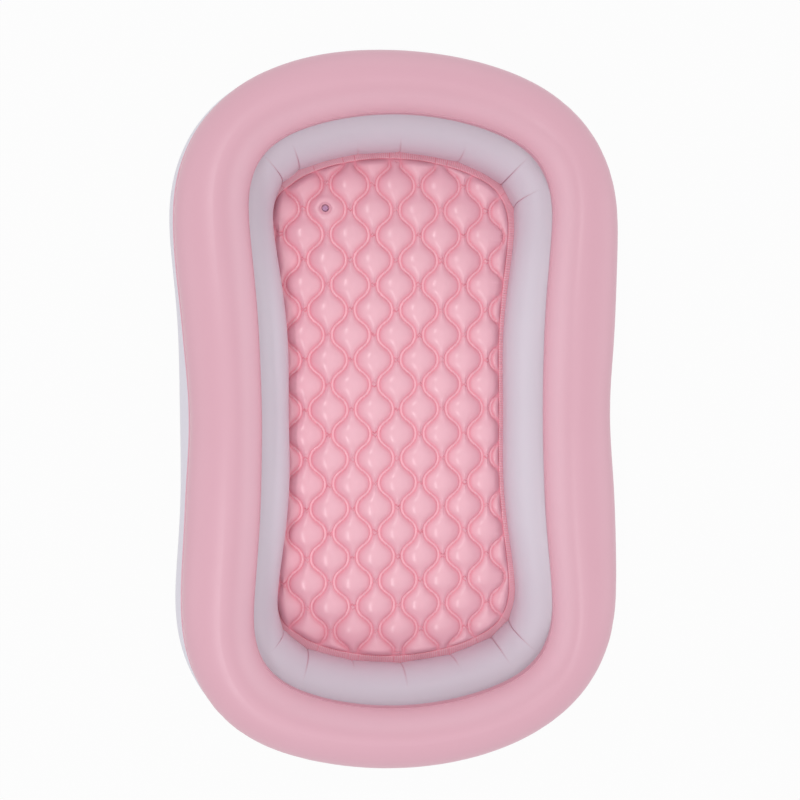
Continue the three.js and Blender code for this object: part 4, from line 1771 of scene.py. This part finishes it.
@dataclass
class AirValve:
    """A push-in air valve: welded base with its well, sliding neck, plug, strap and check flap."""

    name: str
    body: Body
    place: ValvePlace
    clear: bpy.types.Material
    well: bpy.types.Material
    film: bpy.types.Material
    film_slot: Slot
    hole_radius: float = 0.0072
    flange_radius: float = 0.012
    flange_thickness: float = 0.0008
    well_wall: float = 0.0008
    well_depth: float = 0.016
    neck_radius: float = 0.0052
    neck_bore: float = 0.0036
    neck_top: float = 0.003
    neck_length: float = 0.012
    foot_thickness: float = 0.0012
    head_radius: float = 0.005
    head_thickness: float = 0.002
    stem_length: float = 0.007
    dimple: float = 0.0006
    collar_width: float = 0.0014
    collar_height: float = 0.0012
    collar_top: float = 0.0034
    strap_width: float = 0.003
    strap_thickness: float = 0.0008
    tab_length: float = 0.0024
    flap_thickness: float = 0.0006
    flap_lip: float = 0.0008
    seat_gap: float = 0.0003
    rounding: float = 0.00025
    plug_rounding_share: float = 0.7
    land_radius: float = 0.0118
    land_thickness: float = 0.00022
    land_rounding: float = 0.0003
    crease_angle: float = 40
    tongue_crease_angle: float = 60
    tongue_steps: int = 5
    tongue_tip_steps: int = 4
    tongue_tip_share: float = 0.12
    tongue_sides: int = 12
    tongue_squareness: float = 0.4
    segments: int = 56

    def turned(
        self,
        name: str,
        outline: Outline,
        rounding: float | None = None,
        painted_shade_radius: float = 0.0,
    ) -> bpy.types.Object:
        """Turns an outline round the valve's axis.

        Args:
            name: the piece's name.
            outline: its corners, as radius and height in the valve's own directions.
            rounding: how much its corners are rounded, where it isn't the usual amount.
            painted_shade_radius: the radius within which it has painted shade.

        Returns:
            The object, in place.
        """
        profile = np.array(rounded(outline, self.rounding if rounding is None else rounding))
        turn = np.linspace(0, 2 * math.pi, self.segments, endpoint=False)
        x = profile[None, :, 0] * np.cos(turn)[:, None]
        y = profile[None, :, 0] * np.sin(turn)[:, None]
        z = np.broadcast_to(profile[None, :, 1], x.shape)
        places = np.stack([x, y, z], axis=2).reshape(-1, 3)
        # Painted shade within that radius
        painted_shading = (np.hypot(x, y).ravel() < painted_shade_radius).astype(float)
        faces = ring_faces(self.segments, len(profile))
        thing = mesh_object(name, places, faces, self.crease_angle, painted_shading)
        built = bmesh.new()
        built.from_mesh(thing.data)
        bmesh.ops.remove_doubles(built, verts=built.verts, dist=SAME_PLACE)
        bmesh.ops.recalc_face_normals(built, faces=built.faces)
        built.to_mesh(thing.data)
        built.free()
        thing.data.transform(self.place.matrix)
        return thing

    def base(self) -> bpy.types.Object:
        """Makes the welded base: a flange under the film and the well that the neck slides in.

        Returns:
            The object, in place.
        """
        face = -FILM - self.seat_gap
        outer = self.hole_radius + self.well_wall
        return self.turned(f"{self.name}_base_moulding", [
            (self.hole_radius, -self.well_depth),
            (outer, -self.well_depth),
            (outer, face - self.flange_thickness),
            (self.flange_radius, face - self.flange_thickness),
            (self.flange_radius, face),
            (self.hole_radius, face),
        ])

    def neck(self) -> bpy.types.Object:
        """Makes the neck, with its wide foot that stops it in the well.

        Returns:
            The object, in place.
        """
        bottom = -self.neck_top - self.neck_length
        foot = self.hole_radius - self.seat_gap
        return self.turned(f"{self.name}_neck_moulding", [
            (self.neck_bore, bottom),
            (foot, bottom),
            (foot, bottom + self.foot_thickness),
            (self.neck_radius, bottom + self.foot_thickness),
            (self.neck_radius, -self.neck_top),
            (self.neck_bore, -self.neck_top),
        ])

    def plug(self) -> bpy.types.Object:
        """Makes the plug: a round head with a raised rim and a thumb dimple, on a tapered stem.

        Returns:
            The object, in place.
        """
        seat = self.seat_gap - self.neck_top
        top = seat + self.head_thickness
        stem = self.neck_bore - self.seat_gap
        rim = self.head_radius - 2 * self.dimple
        return self.turned(f"{self.name}_plug_moulding", [
            (0, seat - self.stem_length),
            (stem - self.dimple, seat - self.stem_length),
            (stem, seat - self.stem_length + 2 * self.dimple),
            (stem, seat),
            (self.head_radius, seat),
            (self.head_radius, top - self.dimple / 2),
            (self.head_radius - self.dimple / 2, top),
            (rim, top),
            (rim - self.dimple / 2, top - self.dimple),
            (self.dimple * 2, top - self.dimple),
            (self.dimple * 1.5, top - self.dimple / 3),
            (0, top - self.dimple / 3),
        ], self.rounding * self.plug_rounding_share)

    def flap(self) -> bpy.types.Object:
        """Makes the check flap under the neck.

        Returns:
            The object, in place.
        """
        top = -self.neck_top - self.neck_length - self.seat_gap
        radius = self.neck_bore + self.flap_lip
        return self.turned(f"{self.name}_flap_moulding", [
            (0, top - self.flap_thickness),
            (radius, top - self.flap_thickness),
            (radius, top),
            (0, top),
        ])

    def strap(self) -> bpy.types.Object:
        """Makes the strap: a collar round the neck and a tongue beside the plug that ends in a pull tab.

        Returns:
            The object, in place.
        """
        bore = self.neck_radius + self.seat_gap
        collar = self.turned(f"{self.name}_strap_moulding", [
            (bore, -self.collar_top - self.collar_height),
            (bore + self.collar_width, -self.collar_top - self.collar_height),
            (bore + self.collar_width, -self.collar_top),
            (bore, -self.collar_top),
        ])
        foot = -self.collar_top - self.collar_height / 2
        top = self.tab_length - self.neck_top + self.head_thickness
        path = [
            (bore + self.strap_thickness / 2, foot),
            (bore + self.strap_thickness / 2, top - self.tab_length * 0.75),
            (bore + self.strap_thickness * 0.75, top - self.tab_length * 0.4),
            (bore + self.strap_thickness + self.tab_length / 3, top - self.tab_length / 8),
            (bore + self.strap_thickness / 2 + self.tab_length / 2, top),
        ]
        tongue = self.tongue(path)
        bpy.ops.object.select_all(action="DESELECT")
        collar.select_set(True)
        tongue.select_set(True)
        bpy.context.view_layer.objects.active = collar
        bpy.ops.object.join()
        return collar

    def tongue(self, path: Outline) -> bpy.types.Object:
        """Makes the strap's tongue along a path, rounded at its free end.

        Args:
            path: its middle line, as radius and height.

        Returns:
            The object, in place.
        """
        spine = np.array([path[0], *path, path[-1]])
        fine = []
        for index in range(len(path) - 1):
            a, b, c, d = spine[index : index + 4]
            for share in np.linspace(0, 1, self.tongue_steps, endpoint=False):
                curve = 2 * b + (c - a) * share
                curve = curve + (2 * a - 5 * b + 4 * c - d) * share**2
                fine.append((curve + (3 * b - a - 3 * c + d) * share**3) / 2)
        fine = np.array([*fine, path[-1]])
        along = np.gradient(fine, axis=0)
        along /= np.linalg.norm(along, axis=1)[:, None]
        side = np.stack([along[:, 1], -along[:, 0]], axis=1)
        count = len(fine)
        left = np.clip((count - 1 - np.arange(count)) / self.tongue_tip_steps, 0, 1)
        width = self.strap_width / 2 * np.sqrt(np.clip(1 - (1 - left) ** 2, self.tongue_tip_share, 1))
        around = self.tongue_sides
        turn = 2 * math.pi * (np.arange(around) + 0.5) / around
        round_x, round_y = (
            np.sign(part) * np.abs(part) ** self.tongue_squareness for part in (np.cos(turn), np.sin(turn))
        )
        radius = fine[:, 0][:, None] + side[:, 0][:, None] * self.strap_thickness / 2 * round_x
        height = fine[:, 1][:, None] + side[:, 1][:, None] * self.strap_thickness / 2 * round_x
        across = width[:, None] * round_y
        places = np.stack([radius, across, height], axis=2).reshape(-1, 3)
        faces = [
            (first + j, first + (j + 1) % around, first + around + (j + 1) % around, first + around + j)
            for first in range(0, (count - 1) * around, around)
            for j in range(around)
        ]
        faces.append(tuple(range(around)))
        faces.append(tuple(range((count - 1) * around, count * around)))
        thing = mesh_object(f"{self.name}_tongue", places, faces, self.tongue_crease_angle)
        thing.data.transform(self.place.matrix)
        return thing

    def land(self) -> bpy.types.Object:
        """Makes the film's own pressed land round the hole, with two weld rings in it and painted shade next to
        the hole.

        Returns:
            The object, in place.
        """
        thick = self.land_thickness
        return self.turned(f"{self.name}_weld_land", [
            (self.hole_radius, -0.3 * thick),
            (self.land_radius, -0.3 * thick),
            (self.land_radius + thick, 0.1 * thick),
            (self.land_radius - thick, 0.7 * thick),
            (self.land_radius - 3 * thick, 0.7 * thick),
            (self.land_radius - 4 * thick, 1.5 * thick),
            (self.land_radius - 5 * thick, 0.7 * thick),
            (self.land_radius - 7 * thick, 0.7 * thick),
            (self.land_radius - 8 * thick, 1.5 * thick),
            (self.land_radius - 9 * thick, 0.7 * thick),
            (self.hole_radius + thick, 0.9 * thick),
            (self.hole_radius, 0.5 * thick),
        ], self.land_rounding, self.hole_radius + 5 * thick)

    def build(self) -> None:
        """Makes and dresses every piece of the valve."""
        shell = Body.SHELL.value
        neck, plug, flap = (self.body.part(name) for name in ("neck", "plug", "flap"))
        Piece(shell, self.film_slot, self.film).dress(self.land())
        Piece(shell, Slot.CLEAR, self.well, (f"{self.name}_base",)).dress(self.base())
        Piece(neck, Slot.CLEAR, self.clear, (f"{self.name}_neck",)).dress(self.neck())
        Piece(plug, Slot.CLEAR, self.clear, (f"{self.name}_plug",)).dress(self.plug())
        Piece(flap, Slot.CLEAR, self.clear, (f"{self.name}_flap",)).dress(self.flap())
        strap = self.strap()
        start = self.place.matrix @ Vector((0, 0, -self.collar_top + self.collar_height))
        stop = self.place.matrix @ Vector((0, 0, self.head_thickness - self.neck_top))
        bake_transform(strap, neck, plug, start=start, end=stop)
        Piece(neck, Slot.CLEAR, self.well, (f"{self.name}_strap",)).dress(strap)


# The studio


@dataclass(frozen=True)
class SoftLamp:
    """A studio softbox: a wide lamp that faces a point."""

    name: str
    place: tuple[float, float, float]
    aim: tuple[float, float, float]
    width: float
    length: float
    power: float
    tint: Colour = (1.0, 1.0, 1.0)

    def build(self) -> None:
        """Hangs the lamp."""
        data = bpy.data.lights.new(self.name, "AREA")
        data.shape = "RECTANGLE"
        data.size = self.width
        data.size_y = self.length
        data.energy = self.power
        data.color = self.tint
        lamp = bpy.data.objects.new(self.name, data)
        lamp.location = self.place
        toward = Vector(self.aim) - Vector(self.place)
        back = -toward.normalized()
        along = Vector((0, 1, 0))
        side = along.cross(back).normalized()
        up = back.cross(side)
        lamp.rotation_euler = Matrix((side, up, back)).transposed().to_euler()
        lamp.visible_camera = False
        bpy.context.scene.collection.objects.link(lamp)


def seen_rays(tree: bpy.types.NodeTree) -> bpy.types.NodeSocket:
    """Adds nodes that tell the rays that show the backdrop: from the camera, by gloss or through clear vinyl.

    Args:
        tree: the node tree that they are added to.

    Returns:
        A socket that is one for such a ray and zero for the rest.
    """
    path = tree.nodes.new("ShaderNodeLightPath")
    seen = path.outputs["Is Camera Ray"]
    for kind in ("Is Glossy Ray", "Is Transmission Ray"):
        either = tree.nodes.new("ShaderNodeMath")
        either.operation = "MAXIMUM"
        tree.links.new(seen, either.inputs[0])
        tree.links.new(path.outputs[kind], either.inputs[1])
        seen = either.outputs["Value"]
    return seen


@dataclass
class Studio:
    """The plain pale floor, the soft light and the camera over the pool."""

    camera_place: tuple[float, float, float] = (-0.1275, 0.0584, 1.3649)
    camera_right: tuple[float, float, float] = (0.9949, -0.0065, 0.1005)
    camera_up: tuple[float, float, float] = (0.0094, 0.9995, -0.0285)
    lens: float = 31.5
    sensor: float = 36.0
    floor_size: float = 12.0
    floor_drop: float = 0.0004
    far_clip: float = 100
    paper_spot: float = 0.4
    paper: Colour = (0.76, 0.76, 0.76)
    paper_drift: Colour = (0.78, 0.78, 0.78)
    daylight: float = 0.72
    floor_glow: float = 0.95
    # Each lamp's place, the point that it faces, its width, its length and its power in watts
    lamps: tuple[SoftLamp, ...] = (
        SoftLamp("far_left_softbox", (-0.75, 0.85, 2.3), (0.0, 0.2, 0.1), 0.12, 0.7, 5.4),
        SoftLamp("near_left_softbox", (-0.75, -1.0, 2.3), (0.0, -0.2, 0.1), 0.12, 1.2, 8.0),
        SoftLamp("overhead_softbox", (0.15, -0.2, 1.7), (0.05, -0.1, 0.1), 0.9, 1.5, 2.2),
        SoftLamp("left_wall_softbox", (-2.6, 0.0, 1.1), (0.0, 0.0, 0.1), 1.6, 2.6, 5.2),
        SoftLamp("right_wall_softbox", (2.6, 0.0, 1.1), (0.0, 0.0, 0.1), 1.6, 2.6, 8.5),
        SoftLamp("far_wall_softbox", (0.2, 2.6, 1.1), (0.0, 0.0, 0.1), 1.6, 1.6, 3.0),
    )

    def build(self) -> None:
        """Sets up the camera, the light and the floor."""
        self.build_camera()
        self.build_world()
        self.build_floor()
        for lamp in self.lamps:
            lamp.build()
        bpy.context.scene.view_settings.view_transform = "Standard"

    def build_camera(self) -> None:
        """Sets the camera where the picture was taken from."""
        data = bpy.data.cameras.new("picture_camera")
        data.lens = self.lens
        data.sensor_width = self.sensor
        data.clip_end = self.far_clip
        right = Vector(self.camera_right).normalized()
        back = right.cross(Vector(self.camera_up)).normalized()
        up = back.cross(right)
        camera = bpy.data.objects.new("picture_camera", data)
        turn = Matrix((right, up, back)).transposed().to_4x4()
        camera.matrix_world = Matrix.Translation(self.camera_place) @ turn
        bpy.context.scene.collection.objects.link(camera)
        bpy.context.scene.camera = camera

    def build_world(self) -> None:
        """Lights the studio evenly, with plain white behind the pool."""
        world = bpy.data.worlds.new("studio")
        world.use_nodes = True
        tree = world.node_tree
        tree.nodes.clear()
        seen = seen_rays(tree)
        light = tree.nodes.new("ShaderNodeBackground")
        light.inputs["Color"].default_value = (1, 1, 1, 1)
        light.inputs["Strength"].default_value = self.daylight
        backdrop = tree.nodes.new("ShaderNodeBackground")
        backdrop.inputs["Color"].default_value = (1, 1, 1, 1)
        backdrop.inputs["Strength"].default_value = 1.0
        mix = tree.nodes.new("ShaderNodeMixShader")
        output = tree.nodes.new("ShaderNodeOutputWorld")
        tree.links.new(seen, mix.inputs["Fac"])
        tree.links.new(light.outputs["Background"], mix.inputs[1])
        tree.links.new(backdrop.outputs["Background"], mix.inputs[2])
        tree.links.new(mix.outputs["Shader"], output.inputs["Surface"])
        bpy.context.scene.world = world

    def build_floor(self) -> None:
        """Lays the white studio floor, which keeps the pool's soft shadow."""
        half = self.floor_size / 2
        corners = np.array([(-half, -half, 0), (half, -half, 0), (half, half, 0), (-half, half, 0)])
        corners[:, 2] = -self.floor_drop
        floor = mesh_object("studio_floor", corners, [(0, 1, 2, 3)])
        tree = ShaderTree("studio_floor_white")
        paper = tree.node("ShaderNodeBsdfDiffuse")
        grain = tree.noise(self.paper_spot, 2)
        tree.link(tree.mixed(grain.outputs["Fac"], self.paper, self.paper_drift), paper.inputs["Color"])
        glow = tree.node("ShaderNodeEmission")
        share = tree.node("ShaderNodeMath", operation="MULTIPLY")
        share.inputs[1].default_value = self.floor_glow
        tree.link(seen_rays(tree.tree), share.inputs[0])
        mix = tree.node("ShaderNodeMixShader")
        tree.link(share.outputs["Value"], mix.inputs["Fac"])
        tree.link(paper.outputs["BSDF"], mix.inputs[1])
        tree.link(glow.outputs["Emission"], mix.inputs[2])
        tree.link(mix.outputs["Shader"], tree.output.inputs["Surface"])
        floor.data.materials.append(tree.material)


# The whole pool


@dataclass
class BabyPool:
    """The whole pool, built round the frame."""

    lower_outer_end: float = 0.092
    lower_outer_side: float = 0.095
    width_at_waist: float = 0.790
    hinge_inset: Vector = field(default_factory=lambda: Vector((-0.0044, 0, -0.0153)))
    # Each finish's deep colour is painted shade and its pale colour painted light
    pink: VinylFinish = VinylFinish(
        "pink_ring_vinyl",
        colour=(0.848, 0.652, 0.712),
        drift_colour=(0.841, 0.642, 0.701),
        painted_shade_colour=(0.81, 0.55, 0.62),
        painted_light_colour=(0.915, 0.748, 0.800),
        roughness=0.36,
    )
    white: VinylFinish = VinylFinish(
        "white_ring_vinyl",
        colour=(0.870, 0.857, 0.897),
        drift_colour=(0.861, 0.847, 0.888),
        painted_shade_colour=(0.82, 0.67, 0.73),
        painted_light_colour=(0.90, 0.89, 0.92),
        roughness=0.36,
    )
    quilt: VinylFinish = VinylFinish(
        "floor_vinyl",
        colour=(0.972, 0.762, 0.812),
        drift_colour=(0.964, 0.748, 0.800),
        painted_shade_colour=(0.970, 0.620, 0.690),
        painted_light_colour=(1.0, 0.79, 0.83),
        roughness=0.23,
    )
    violet: ClearFinish = ClearFinish("clear_valve_vinyl", (0.84, 0.64, 0.80))
    wells: dict[Slot, ClearFinish] = field(default_factory=lambda: {
        Slot.FLOOR: ClearFinish("floor_well_vinyl", (0.95, 0.66, 0.76)),
        Slot.PINK_RING: ClearFinish("upper_ring_well_vinyl", (0.86, 0.62, 0.70)),
        Slot.WHITE_RING: ClearFinish("lower_ring_well_vinyl", (0.84, 0.80, 0.86)),
    })

    def build(self) -> None:
        """Builds the rings, the floor and the valves in order."""
        length = CAD_BOX[1].y - CAD_BOX[0].y
        half_width = self.width_at_waist / 2 - self.lower_outer_side
        plan = JointLine(length / 2 - self.lower_outer_end, half_width)
        valves = (Body.FLOOR, Body.UPPER, Body.LOWER)
        places = {body: ValvePlace.of(body, self.hinge_inset) for body in valves}
        LowerRing(plan, self.white, places[Body.LOWER]).build()
        UpperRing(plan, self.pink, places[Body.UPPER]).build()
        AirFloor(plan, self.quilt, places[Body.FLOOR]).build()
        clear = self.violet.material()
        films = {
            Body.FLOOR: ("floor_valve", Slot.FLOOR),
            Body.UPPER: ("upper_ring_valve", Slot.PINK_RING),
            Body.LOWER: ("lower_ring_valve", Slot.WHITE_RING),
        }
        for body, (name, slot) in films.items():
            film = bpy.data.materials[slot.value]
            well = self.wells[slot].material()
            AirValve(name, body, places[body], clear, well, film, slot).build()


def main() -> None:
    """Builds the pool and its studio."""
    logging.basicConfig(level=logging.INFO, format="%(message)s")
    BabyPool().build()
    Studio().build()


if __name__ == "__main__":
    main()
